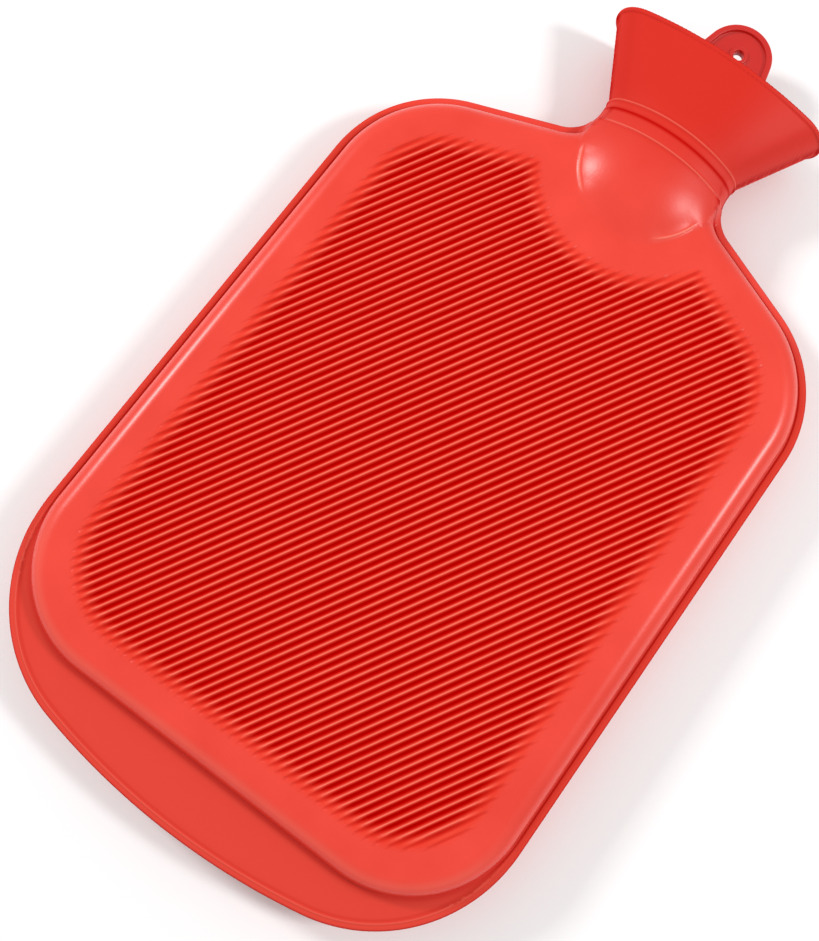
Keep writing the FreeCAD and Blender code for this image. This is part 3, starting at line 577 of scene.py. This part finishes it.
def back_height(points):
    """Depth under the seam's plane, and the look, which has no painted shade or highlight."""
    x, y = points[:, 0], points[:, 1]
    edge = distance_inside(points, outline_ring)
    dc = distance_inside(points, chamber_ring)
    z = seam_height(points, np.maximum(edge, 0))
    wall = np.clip(dc / BACK_WALL_RUN, 0, 1)
    chamber = wall * (BACK_DROP - BACK_EDGE_R) + edge_bend(dc, BACK_EDGE_R)
    chamber = np.where(dc > 0, np.minimum(chamber, BACK_DROP), NOWHERE)
    root = root_height(points)
    share = smoothstep(y, BACK_ROOT_LOW, BACK_ROOT_HIGH)
    blended = np.maximum(chamber * (1 - share) + share * root, root)
    z = np.maximum(z, np.where(y > BACK_ROOT_LOW, blended, chamber))
    a, b, lift = neck_oval(y)
    neck = np.where(np.abs(x) <= a + EDGE_SLACK, oval_height(x, a, b) - lift, NOWHERE)
    near_ring = np.where(y > RING_Y - RING_ZONE, np.maximum(z, neck), z)
    tint = funnel_share(y)
    look = np.c_[np.full(len(z), PLAIN_SHADE), tint, tint]
    return np.where(y > ROOT_Y - EDGE_SLACK, neck, near_ring), look


# Points of the mesh. Rows of points cross the neck and the funnel, close at the rings and the lip.
NECK_ROWS = np.concatenate(
    [
        [146.5, 147.3, 148.1, 148.8, 149.3, 149.6, 149.8, 150.0],
        [150.2, 150.4, 150.6, 150.8, 151.05],
        [151.3, 151.4, 151.7, 152.2, 153.0, 154.0],
        np.arange(155.4, RIM_Y - 3.2, 1.5),
        RIM_Y - LIP_WIDTH - np.array([0.5, 0.15, 0.02]),
        RIM_Y - LIP_WIDTH + np.array([0.02, 0.1, 0.25, 0.5, 0.8]),
        RIM_Y - np.array([0.8, 0.55, 0.3, 0.15, 0.05, 0.0]),
    ]
)
# angles of the points of a row, from the left to the right
TURNS = np.radians(np.linspace(-90, 90, 73))
LOW_RING_ROWS = (139.4, 139.8, 140.1, 140.3, 140.5, 140.75, 141.0, 141.25, 141.5, 141.8, 142.4)
LOW_RING_COLUMNS = np.arange(-27.3, 27.4, 1.1)

# insets of rings of points from the moulding's outline, and from the chamber's
FLANGE_LEVELS = (0.06, 0.2, 0.45, 0.8, 1.2)
LIP_LEVELS = (1.7, 2.2, 2.6, 3.0, 3.4, 3.8, 4.4)
FOOT_LEVELS = (-3.2, -2.3)
FRONT_LEVELS = (
    *(-1.4, -0.9, -0.6, -0.35, -0.12, 0.0, 0.1, 0.35, 0.64, 0.76, 0.95),
    *(1.3, 1.8, 2.5, 3.4, 4.4, 5.5, 6.6, 7.7, 9.0, 10.6, 12.4),
)
BACK_LEVELS = (
    *(-0.5, -0.05, 0.0, 0.05, 0.16, 0.3, 0.6, 1.1, 1.8, 2.8),
    *(4.0, 5.4, 7.0, 8.8, 10.6, 12.2, 14.0),
)
# radii of arcs of points at the dome's foot, and the step along them
CREASE_RADII = (23.4, 24.0, 24.3, 24.5, 24.65, 24.8, 25.1, 25.8)
CREASE_STEP = 0.9
# the rings end at these places: at the neck's root, on the flap, and where the rows take over
WALLS_TOP_Y = ROOT_Y - 0.3
LIP_TOP_Y = -68
FOOT_TOP_Y = -75
CREASE_TOP_Y = 139.0
ROOT_ROWS_Y = 137
ROOT_ROWS_X = 26.5

# lattices: reach to each side, low end and high end
DOME_BOX = (34, 106, ROOT_Y - 0.4)
BODY_BOX = (96, -140, 135)
LATTICE_SHIFT = 0.37

# the triangulation keeps only what is inside the silhouette, with points this far from it
INSIDE_ONLY = 1
INNER_GAP = 0.02
TRIANGLE_SLACK = 1e-7

# the lattice along the ribs: lines to a rib, the step along them, how far it runs past their
# tips, its reach before it is cut, and its low and high end
RIB_LINES = 6
RIB_STEP = 1.4
RIB_SPARE = 0.6
RIB_REACH = 190.0
RIB_BOX = (-110, 120)


def row_points(y):
    """Points across the neck or funnel at y, from the left to the right."""
    half_width = neck_oval(np.array([y]))[0][0]
    return np.c_[half_width * np.sin(TURNS), np.full(len(TURNS), y)]


def offset_ring(half_at, levels):
    """Points of a family of outlines, one for each inset."""
    found = []
    for level in levels:
        half = half_at(level)
        found.append(half)
        found.append(half * (-1, 1))
    return np.concatenate(found)


def below(points, y):
    """The points whose place along the bottle is lower than y."""
    return points[points[:, 1] < y]


def off_the_root(points):
    """Points that don't lie on the neck's root, where rows of their own cross it."""
    on_root = (points[:, 1] > ROOT_ROWS_Y) & (np.abs(points[:, 0]) < ROOT_ROWS_X)
    return points[~on_root]


def rib_points():
    """A lattice that runs along the grooves."""
    count = round(RIB_REACH / RIB_PITCH)
    lines = np.linspace(-count, count, 2 * RIB_LINES * count + 1) * RIB_PITCH
    steps = np.arange(-RIB_REACH, RIB_REACH, RIB_STEP)
    u, v = np.meshgrid(lines, steps, indexing="ij")
    points = u.reshape(-1, 1) * RIB_ACROSS + v.reshape(-1, 1) * RIB_ALONG
    x, y = points[:, 0], points[:, 1]
    points = points[(np.abs(x) < HALF_WIDTH) & (y > RIB_BOX[0]) & (y < RIB_BOX[1])]
    return points[distance_inside(points, field_ring) > -RIB_TIP - RIB_SPARE]


def lattice(x_reach, low, high, step):
    """A square lattice of points, moved a little off the rows."""
    x, y = np.meshgrid(np.arange(-x_reach, x_reach + step / 2, step), np.arange(low, high, step))
    y = y + LATTICE_SHIFT * step
    return np.c_[x.ravel(), y.ravel()]


def boundary():
    """The moulding's silhouette as one closed run of points, and where its rim begins and ends."""
    rights = [row_points(y)[-1] for y in NECK_ROWS[1:]]
    half = np.concatenate([outline_half, rights])
    rim = row_points(RIM_Y)[1:-1][::-1]
    left = half[::-1] * (-1, 1)
    return np.concatenate([half, rim, left[:-1]]), len(half) - 1, len(half) + len(rim)


silhouette, rim_first, rim_last = boundary()


def thin_out(points, groups):
    """Adds groups of points, without those that are nearer to an earlier one than their gap."""
    for group, gap in groups:
        tree = kdtree.KDTree(len(points))
        for i, (x, y) in enumerate(points):
            tree.insert((x, y, 0), i)
        tree.balance()
        clear = [tree.find((x, y, 0))[2] > gap for x, y in group]
        points = np.concatenate([points, group[np.array(clear)]])
    return points


def surface(groups, height):
    """Triangulates the silhouette through groups of points.

    Gives the points, the faces, the index of each point of the silhouette, and each point's
    height, look and normal from the slope, which is none near the silhouette."""
    n = len(silhouette)
    inner = thin_out(silhouette, groups)[n:]
    inner = inner[distance_inside(inner, silhouette) > INNER_GAP]
    points = np.concatenate([silhouette, inner])
    edges = [(i, (i + 1) % n) for i in range(n)]
    found, _, faces, origins, _, _ = delaunay_2d_cdt(
        [Vector(p) for p in points.tolist()], edges, [], INSIDE_ONLY, TRIANGLE_SLACK
    )
    found = np.array([tuple(p) for p in found])
    where = {}
    for index, sources in enumerate(origins):
        for source in sources:
            where[source] = index
    z, look = height(found)
    slopes = [(height(found + step)[0] - z) / PROBE for step in ((PROBE, 0), (0, PROBE))]
    normals = np.c_[-slopes[0], -slopes[1], np.ones(len(z))]
    normals /= np.linalg.norm(normals, axis=1)[:, None]
    normals[distance_inside(found, silhouette) < EDGE_ZONE] = 0
    return found, faces, [where[i] for i in range(n)], z, look, normals


def both_sides():
    """The triangulated front and back of the moulding."""
    rows = np.concatenate([row_points(y)[1:-1] for y in NECK_ROWS[:-1]])
    ring_band = np.concatenate(
        [np.c_[LOW_RING_COLUMNS, np.full(len(LOW_RING_COLUMNS), y)] for y in LOW_RING_ROWS]
    )
    flange = below(offset_ring(at_outline, FLANGE_LEVELS), WALLS_TOP_Y)
    lip = below(offset_ring(at_outline, LIP_LEVELS), LIP_TOP_Y)
    foot_walls = below(offset_ring(at_chamber, FOOT_LEVELS), FOOT_TOP_Y)
    front_walls = below(off_the_root(offset_ring(at_chamber, FRONT_LEVELS)), WALLS_TOP_Y)
    back_walls = below(offset_ring(at_chamber, BACK_LEVELS), WALLS_TOP_Y)
    crease = [arc(0, DOME_Y, radius, -math.pi, math.pi, CREASE_STEP) for radius in CREASE_RADII]
    crease = below(np.concatenate(crease), CREASE_TOP_Y)
    # groups of points, each with its least gap to the points before
    front = (
        (rows, 0.02),
        (ring_band, 0.1),
        (rib_points(), 0.1),
        (crease, 0.25),
        (flange, 0.04),
        (front_walls, 0.07),
        (lip, 0.25),
        (foot_walls, 0.5),
        (lattice(*DOME_BOX, 1.25), 0.7),
        (lattice(*BODY_BOX, 2.4), 1.5),
    )
    back = (
        (rows, 0.02),
        (ring_band, 0.1),
        (flange, 0.04),
        (back_walls, 0.07),
        (lip, 0.25),
        (lattice(*DOME_BOX, 1.8), 1.0),
        (lattice(*BODY_BOX, 5), 2.5),
    )
    return surface(front, front_height), surface(back, back_height)


def mouth_sections():
    """Sections from the rim to the end of the throat: y, half-width, half-depth, lift, oval."""
    inner_x = RIM_X - RIM_WALL
    inner_z = RIM_Z - RIM_WALL
    floor_x = NECK_X - FLOOR_INSET - NECK_WALL
    floor_z = NECK_Z - NECK_WALL
    sections = []
    for back_in, out in MOUTH_EDGE:
        sections.append((RIM_Y - back_in, inner_x + out, inner_z + out, RIM_LIFT, True))
    for t in MOUTH_SHARES:
        y = MOUTH_FLOOR_Y + (RIM_Y - MOUTH_FLOOR_Y) * t
        a = floor_x + (inner_x - floor_x) * t
        b = floor_z + (inner_z - floor_z) * t
        sections.append((y, a, b, RIM_LIFT * t, True))
    sections.append((MOUTH_FLOOR_Y, floor_x - FLOOR_INSET, floor_z - FLOOR_INSET, 0.0, True))
    for radius, y in (
        (SEAT_R, MOUTH_FLOOR_Y),
        (SEAT_R, SEAT_FLOOR_Y),
        (THROAT_R, THROAT_TOP_Y),
        (THROAT_R, THROAT_FLOOR_Y),
    ):
        sections.append((y, radius, radius, 0.0, False))
    return sections


def linked(name, data):
    """A new object in the scene."""
    obj = bpy.data.objects.new(name, data)
    bpy.context.scene.collection.objects.link(obj)
    return obj


def smooth(mesh):
    """Shades all faces smoothly."""
    for polygon in mesh.polygons:
        polygon.use_smooth = True


def new_object(name, vertices, faces, layers, body):
    """A smooth mesh in metres, with layers of vectors at its points."""
    mesh = bpy.data.meshes.new(name)
    mesh.from_pydata([tuple(v) for v in (np.array(vertices) * MM).tolist()], [], faces)
    for attribute, values in layers.items():
        layer = mesh.attributes.new(attribute, "FLOAT_VECTOR", "POINT")
        layer.data.foreach_set("vector", np.ascontiguousarray(values, dtype=np.float32).ravel())
    mesh.validate()
    mesh.update()
    smooth(mesh)
    obj = linked(name, mesh)
    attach(obj, body)
    return obj


def clean_up(mesh):
    """Joins points that lie on each other, and takes the normals from the mesh's slope layer."""
    work = bmesh.new()
    work.from_mesh(mesh)
    bmesh.ops.remove_doubles(work, verts=work.verts, dist=JOINED)
    bmesh.ops.dissolve_degenerate(work, edges=work.edges, dist=FLAT)
    bmesh.ops.recalc_face_normals(work, faces=work.faces)
    work.to_mesh(mesh)
    work.free()
    slope = np.empty(3 * len(mesh.vertices), dtype=np.float32)
    mesh.attributes["slope"].data.foreach_get("vector", slope)
    mesh.normals_split_custom_set_from_vertices(slope.reshape(-1, 3).tolist())
    mesh.attributes.remove(mesh.attributes["slope"])


def bottle():
    """The moulding: its front, its back, the mouth, and a blind throat."""
    front, back = both_sides()
    front_points, front_faces, front_edge, front_z, front_tones, front_normals = front
    back_points, back_faces, back_edge, back_z, back_tones, back_normals = back
    vertices = []
    faces = []
    vertices.extend(np.c_[front_points, PART_Z + front_z])
    faces.extend(tuple(f) for f in front_faces)
    shift = len(vertices)
    vertices.extend(np.c_[back_points, PART_Z - back_z])
    faces.extend(tuple(shift + i for i in reversed(f)) for f in back_faces)

    # the edge of the seam, everywhere but at the rim
    n = len(silhouette)
    for i in range(n):
        j = (i + 1) % n
        if not rim_first <= i < rim_last:
            faces.append((front_edge[i], shift + back_edge[i], shift + back_edge[j], front_edge[j]))

    # rings from the rim into the mouth: the front run, then the back run
    front_run = [front_edge[i] for i in range(rim_first, rim_last + 1)]
    back_run = [shift + back_edge[i] for i in range(rim_last - 1, rim_first, -1)]
    rings = [front_run + back_run]
    around = len(rings[0])
    turns = np.concatenate([TURNS[::-1], TURNS[1:-1]])
    on_front = np.arange(around) < len(front_run)
    for y, a, b, up, oval in mouth_sections():
        x = a * np.sin(turns)
        height = oval_height(x, a, b) if oval else a * np.abs(np.cos(turns))
        z = PART_Z + up + np.where(on_front, height, -height)
        first = len(vertices)
        vertices.extend(np.c_[x, np.full(len(x), y), z])
        rings.append(list(range(first, first + around)))
    for one, other in zip(rings, rings[1:]):
        for i in range(around):
            j = (i + 1) % around
            faces.append((one[i], other[i], other[j], one[j]))
    faces.append(tuple(rings[-1]))

    inside_count = around * (len(rings) - 1)
    # inside the mouth: a little painted shade, the funnel's tint, and matt
    inside_tones = np.tile(INSIDE_LOOK, (inside_count, 1))
    layers = {
        "look": np.concatenate([front_tones, back_tones, inside_tones]),
        "slope": np.concatenate(
            [front_normals, back_normals * (1, 1, -1), np.zeros((inside_count, 3))]
        ),
    }
    obj = new_object("bottle_moulding", vertices, faces, layers, "bottle")
    clean_up(obj.data)
    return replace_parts(obj, "bottle_body")


def thin_shank(work):
    """Draws the shank's outside in to the thread's core."""
    for vert in work.verts:
        x, y, z = vert.co / MM
        r = math.hypot(x, z - PART_Z)
        if y < WASHER_TOP_Y + WASHER_SLACK and SHANK_R - SHANK_SLACK < r < SHANK_R + SHANK_SLACK:
            share = SHANK_CORE_R / r
            vert.co = Vector((x * share, y, PART_Z + (z - PART_Z) * share)) * MM


def thread(work, low, high, foot_r, tip_r, turn):
    """Adds the ridge of a right-handed thread about Y, from one place to another, to a mesh."""
    count = round((high - low) / THREAD_PITCH * THREAD_STEPS)
    rings = []
    for i in range(count + 1):
        y = low + (high - low) * i / count
        angle = 2 * math.pi * y / THREAD_PITCH + turn
        end = min(min(i, count - i) / THREAD_RUN_IN, 1)
        crest_r = foot_r + (tip_r - foot_r) * max(end, THREAD_LEAST)
        corners = (
            (foot_r, -THREAD_FOOT),
            (crest_r, -THREAD_TIP),
            (crest_r, THREAD_TIP),
            (foot_r, THREAD_FOOT),
        )
        ring = []
        for r, along in corners:
            place = (r * math.sin(angle), y + along, PART_Z + r * math.cos(angle))
            ring.append(work.verts.new(Vector(place) * MM))
        rings.append(ring)
    faces = [work.faces.new(rings[0]), work.faces.new(rings[-1][::-1])]
    for one, other in zip(rings, rings[1:]):
        for i in range(4):
            j = (i + 1) % 4
            faces.append(work.faces.new((one[j], one[i], other[i], other[j])))
    bmesh.ops.recalc_face_normals(work, faces=faces)


def from_cad(node, name, body, bevel, ridge_at=None):
    """A copy of a CAD node with its flat faces joined and its edges softened.

    Where the piece has a thread, ridge_at says from where to where, with which radii, and how far
    it is turned."""
    work = bmesh.new()
    work.from_mesh(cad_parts[node].data)
    bmesh.ops.remove_doubles(work, verts=work.verts, dist=FLAT)
    bmesh.ops.dissolve_limit(
        work,
        angle_limit=FLAT_ANGLE,
        verts=work.verts,
        edges=work.edges,
        use_dissolve_boundaries=False,
    )
    if node == "stopper":
        thin_shank(work)
    between = [e for e in work.edges if len(e.link_faces) == 2]
    sharp = [e for e in between if e.calc_face_angle(0) > BEVEL_ANGLE]
    bmesh.ops.bevel(
        work,
        geom=sharp,
        offset=bevel * MM,
        offset_type="OFFSET",
        segments=2,
        profile=0.5,
        affect="EDGES",
        clamp_overlap=True,
    )
    if ridge_at:
        thread(work, *ridge_at)
    mesh = bpy.data.meshes.new(name)
    work.to_mesh(mesh)
    work.free()
    smooth(mesh)
    mesh.set_sharp_from_angle(angle=SHARP_ANGLE)
    obj = linked(name, mesh)
    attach(obj, body)
    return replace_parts(obj, node)


moulding = bottle()
stopper_ridge = (SHANK_LOW, SHANK_HIGH, SHANK_CORE_R - THREAD_SINK, SHANK_R, 0.0)
bush_ridge = (BUSH_LOW, BUSH_HIGH, BORE_R + THREAD_SINK, BORE_TIP_R, math.pi)
stopper = from_cad(
    "stopper", "stopper_plug", "stopper", bevel=0.45, ridge_at=stopper_ridge
)
washer = from_cad("seal_washer", "washer_ring", "washer", bevel=0.3)
bush = from_cad("neck_bush", "bush_ring", "bottle", bevel=0.25, ridge_at=bush_ridge)

# colours on a screen, 0 to 255
RUBBER_COLOUR = (225, 58, 42)
# the colour of painted shade in grooves and creases, along edges and below the rings
PAINTED_SHADE_COLOUR = (184, 2, 0)
# the colour of painted highlights on crests, the dome's fold, the flap's bead and the rings
PAINTED_HIGHLIGHT_COLOUR = (243, 124, 104)
# the funnel's colour, darker than the chamber's
FUNNEL_COLOUR = (210, 48, 37)
PALE_COLOUR = (219, 69, 56)
STOPPER_COLOUR = (200, 34, 26)
WASHER_COLOUR = (176, 28, 22)
BRASS_COLOURS = ((178, 140, 72), (214, 178, 104))

# how strongly the rubber mirrors its surroundings, what share of that is left where it is matt,
# and how rough it is there
GLOSS = 0.42
MATT_GLOSS = 0.07
MATT_ROUGHNESS = 0.6
BRASS_ROUGHNESS = 0.32

# fineness of the patches of colour and of the skin, per metre, and the skin's depth in metres
RUBBER_PATCHES = 38.0
BRASS_PATCHES = 300.0
SKIN_GRAINS = 900.0
SKIN_DEPTH = 0.0002


def linear(r, g, b):
    """A colour as seen on a screen, 0 to 255, as light."""
    return [((c / 255 + 0.055) / 1.055) ** 2.4 if c > 10 else c / 255 / 12.92 for c in (r, g, b)]


def new_material(name):
    """A material, its nodes, its links and its shader."""
    material = bpy.data.materials.new(name)
    material.use_nodes = True
    nodes = material.node_tree.nodes
    return material, nodes, material.node_tree.links, nodes["Principled BSDF"]


def add_noise(nodes, links, where, scale, detail):
    """Noise that keeps to its place on the object."""
    noise = nodes.new("ShaderNodeTexNoise")
    noise.inputs["Scale"].default_value = scale
    noise.inputs["Detail"].default_value = detail
    links.new(where.outputs["Object"], noise.inputs["Vector"])
    return noise.outputs["Fac"]


def add_drift(nodes, links, noise, span, colours):
    """A colour that drifts with the noise from one colour to another."""
    ramp = nodes.new("ShaderNodeValToRGB")
    for element, position, colour in zip(ramp.color_ramp.elements, span, colours):
        element.position = position
        element.color = (*linear(*colour), 1)
    links.new(noise, ramp.inputs["Fac"])
    return ramp.outputs["Color"]


def add_range(nodes, links, value, span, result=(0.0, 1.0)):
    """A value's share of a span, as a value in another span."""
    found = nodes.new("ShaderNodeMapRange")
    found.inputs["From Min"].default_value = span[0]
    found.inputs["From Max"].default_value = span[1]
    found.inputs["To Min"].default_value = result[0]
    found.inputs["To Max"].default_value = result[1]
    links.new(value, found.inputs["Value"])
    return found.outputs["Result"]


def add_look(nodes, links, shader, colour_out, roughness):
    """Lets the look at each point change the shader, with its painted shade and painted highlights,
    and gives the new colour.
    """
    look = nodes.new("ShaderNodeAttribute")
    look.attribute_name = "look"
    parts = nodes.new("ShaderNodeSeparateXYZ")
    links.new(look.outputs["Vector"], parts.inputs["Vector"])
    painted_light, tint, matt = (parts.outputs[axis] for axis in "XYZ")
    # the tint darkens to the funnel's colour or pales to the seam's; painted shade and painted
    # highlight mix in their colours
    tones = (
        (FUNNEL_COLOUR, tint, (0.0, 1.0)),
        (PALE_COLOUR, tint, (0.0, -1.0)),
        (PAINTED_SHADE_COLOUR, painted_light, (PLAIN_SHADE, 0.0)),
        (PAINTED_HIGHLIGHT_COLOUR, painted_light, (PLAIN_SHADE, 1.0)),
    )
    for tone, source, span in tones:
        mix = nodes.new("ShaderNodeMix")
        mix.data_type = "RGBA"
        mix.inputs["B"].default_value = (*linear(*tone), 1)
        links.new(add_range(nodes, links, source, span), mix.inputs["Factor"])
        links.new(colour_out, mix.inputs["A"])
        colour_out = mix.outputs["Result"]
    rough = add_range(nodes, links, matt, (0.0, 1.0), (roughness, MATT_ROUGHNESS))
    links.new(rough, shader.inputs["Roughness"])
    # the specular level falls to none in the painted shade of the grooves, and where the rubber is
    # matt
    gloss = nodes.new("ShaderNodeMath")
    gloss.operation = "MULTIPLY"
    links.new(add_range(nodes, links, painted_light, (0.0, PLAIN_SHADE), (0.0, GLOSS)), gloss.inputs[0])
    links.new(add_range(nodes, links, matt, (0.0, 1.0), (1.0, MATT_GLOSS)), gloss.inputs[1])
    links.new(gloss.outputs["Value"], shader.inputs["Specular IOR Level"])
    return colour_out


def rubber(name, colour, drift, roughness, grain, with_painted_light=False):
    """Rubber or plastic whose colour drifts up to a little paler, with a fine skin.

    Where it has painted light, painted shade darkens its grooves, creases and edges, painted
    highlights pale its crests, folds and rings, and the look's tint and mattness count."""
    material, nodes, links, shader = new_material(name)
    shader.inputs["Roughness"].default_value = roughness
    shader.inputs["Specular IOR Level"].default_value = GLOSS
    where = nodes.new("ShaderNodeTexCoord")
    patches = add_noise(nodes, links, where, RUBBER_PATCHES, detail=4.0)
    paler = [c + drift for c in colour]
    colour_out = add_drift(nodes, links, patches, (0.3, 0.7), (colour, paler))
    if with_painted_light:
        colour_out = add_look(nodes, links, shader, colour_out, roughness)
    links.new(colour_out, shader.inputs["Base Color"])
    bump = nodes.new("ShaderNodeBump")
    bump.inputs["Strength"].default_value = grain
    bump.inputs["Distance"].default_value = SKIN_DEPTH
    skin = add_noise(nodes, links, where, SKIN_GRAINS, detail=3.0)
    links.new(skin, bump.inputs["Height"])
    links.new(bump.outputs["Normal"], shader.inputs["Normal"])
    return material


def brass(name):
    """Brass whose colour drifts a little."""
    material, nodes, links, shader = new_material(name)
    shader.inputs["Metallic"].default_value = 1.0
    shader.inputs["Roughness"].default_value = BRASS_ROUGHNESS
    where = nodes.new("ShaderNodeTexCoord")
    patches = add_noise(nodes, links, where, BRASS_PATCHES, detail=2.0)
    colour_out = add_drift(nodes, links, patches, (0.0, 1.0), BRASS_COLOURS)
    links.new(colour_out, shader.inputs["Base Color"])
    return material


for piece, material in (
    (moulding, rubber("rubber_red", RUBBER_COLOUR, 8, roughness=0.3, grain=0.12, with_painted_light=True)),
    (stopper, rubber("stopper_red", STOPPER_COLOUR, 6, roughness=0.36, grain=0.06)),
    (washer, rubber("washer_rubber", WASHER_COLOUR, 8, roughness=0.55, grain=0.1)),
    (bush, brass("bush_brass")),
):
    piece.data.materials.append(material)

# ground, lamps and camera, in metres
FLOOR_REACH = 4
FLOOR_COLOUR = (0.93, 0.93, 0.93, 1)
FLOOR_ROUGHNESS = 0.9
SKY_STRENGTH = 0.62
LAMP_SIZE = 0.2
LAMP_TARGET = (0, 0.06, 0.02)
LENS = 46.79
CAMERA_PLACE = (0.03434, -0.04544, 0.43048)
CAMERA_TURN = (8.535, 0.483, 36.568)

corners = [(x * FLOOR_REACH, y * FLOOR_REACH, 0) for x, y in ((-1, -1), (1, -1), (1, 1), (-1, 1))]
floor_mesh = bpy.data.meshes.new("floor")
floor_mesh.from_pydata(corners, [], [(0, 1, 2, 3)])
floor = linked("floor", floor_mesh)
paper, _, _, paper_shader = new_material("paper")
paper_shader.inputs["Base Color"].default_value = FLOOR_COLOUR
paper_shader.inputs["Roughness"].default_value = FLOOR_ROUGHNESS
paper_shader.inputs["Specular IOR Level"].default_value = 0.0
floor_mesh.materials.append(paper)

world = bpy.data.worlds.new("studio")
bpy.context.scene.world = world
world.use_nodes = True
background = world.node_tree.nodes["Background"]
background.inputs["Color"].default_value = (1, 1, 1, 1)
background.inputs["Strength"].default_value = SKY_STRENGTH


def softbox(name, place, watts):
    """A square lamp that faces the bottle."""
    data = bpy.data.lights.new(name, "AREA")
    data.shape = "RECTANGLE"
    data.size = LAMP_SIZE
    data.size_y = LAMP_SIZE
    data.energy = watts
    lamp = linked(name, data)
    lamp.location = place
    facing = Vector(LAMP_TARGET) - Vector(place)
    lamp.rotation_euler = facing.to_track_quat("-Z", "Y").to_euler()


softbox("left_box", (-0.95, 0.05, 0.75), watts=6.5)
softbox("right_box", (0.75, 0.40, 0.90), watts=5.8)

camera_data = bpy.data.cameras.new("camera")
camera_data.lens = LENS
camera_data.sensor_width = 36.0
camera_data.clip_start = 0.01
camera = linked("camera", camera_data)
camera.location = CAMERA_PLACE
camera.rotation_euler = [math.radians(a) for a in CAMERA_TURN]
bpy.context.scene.camera = camera

scene = bpy.context.scene
scene.view_settings.view_transform = "Standard"
scene.view_settings.look = "None"
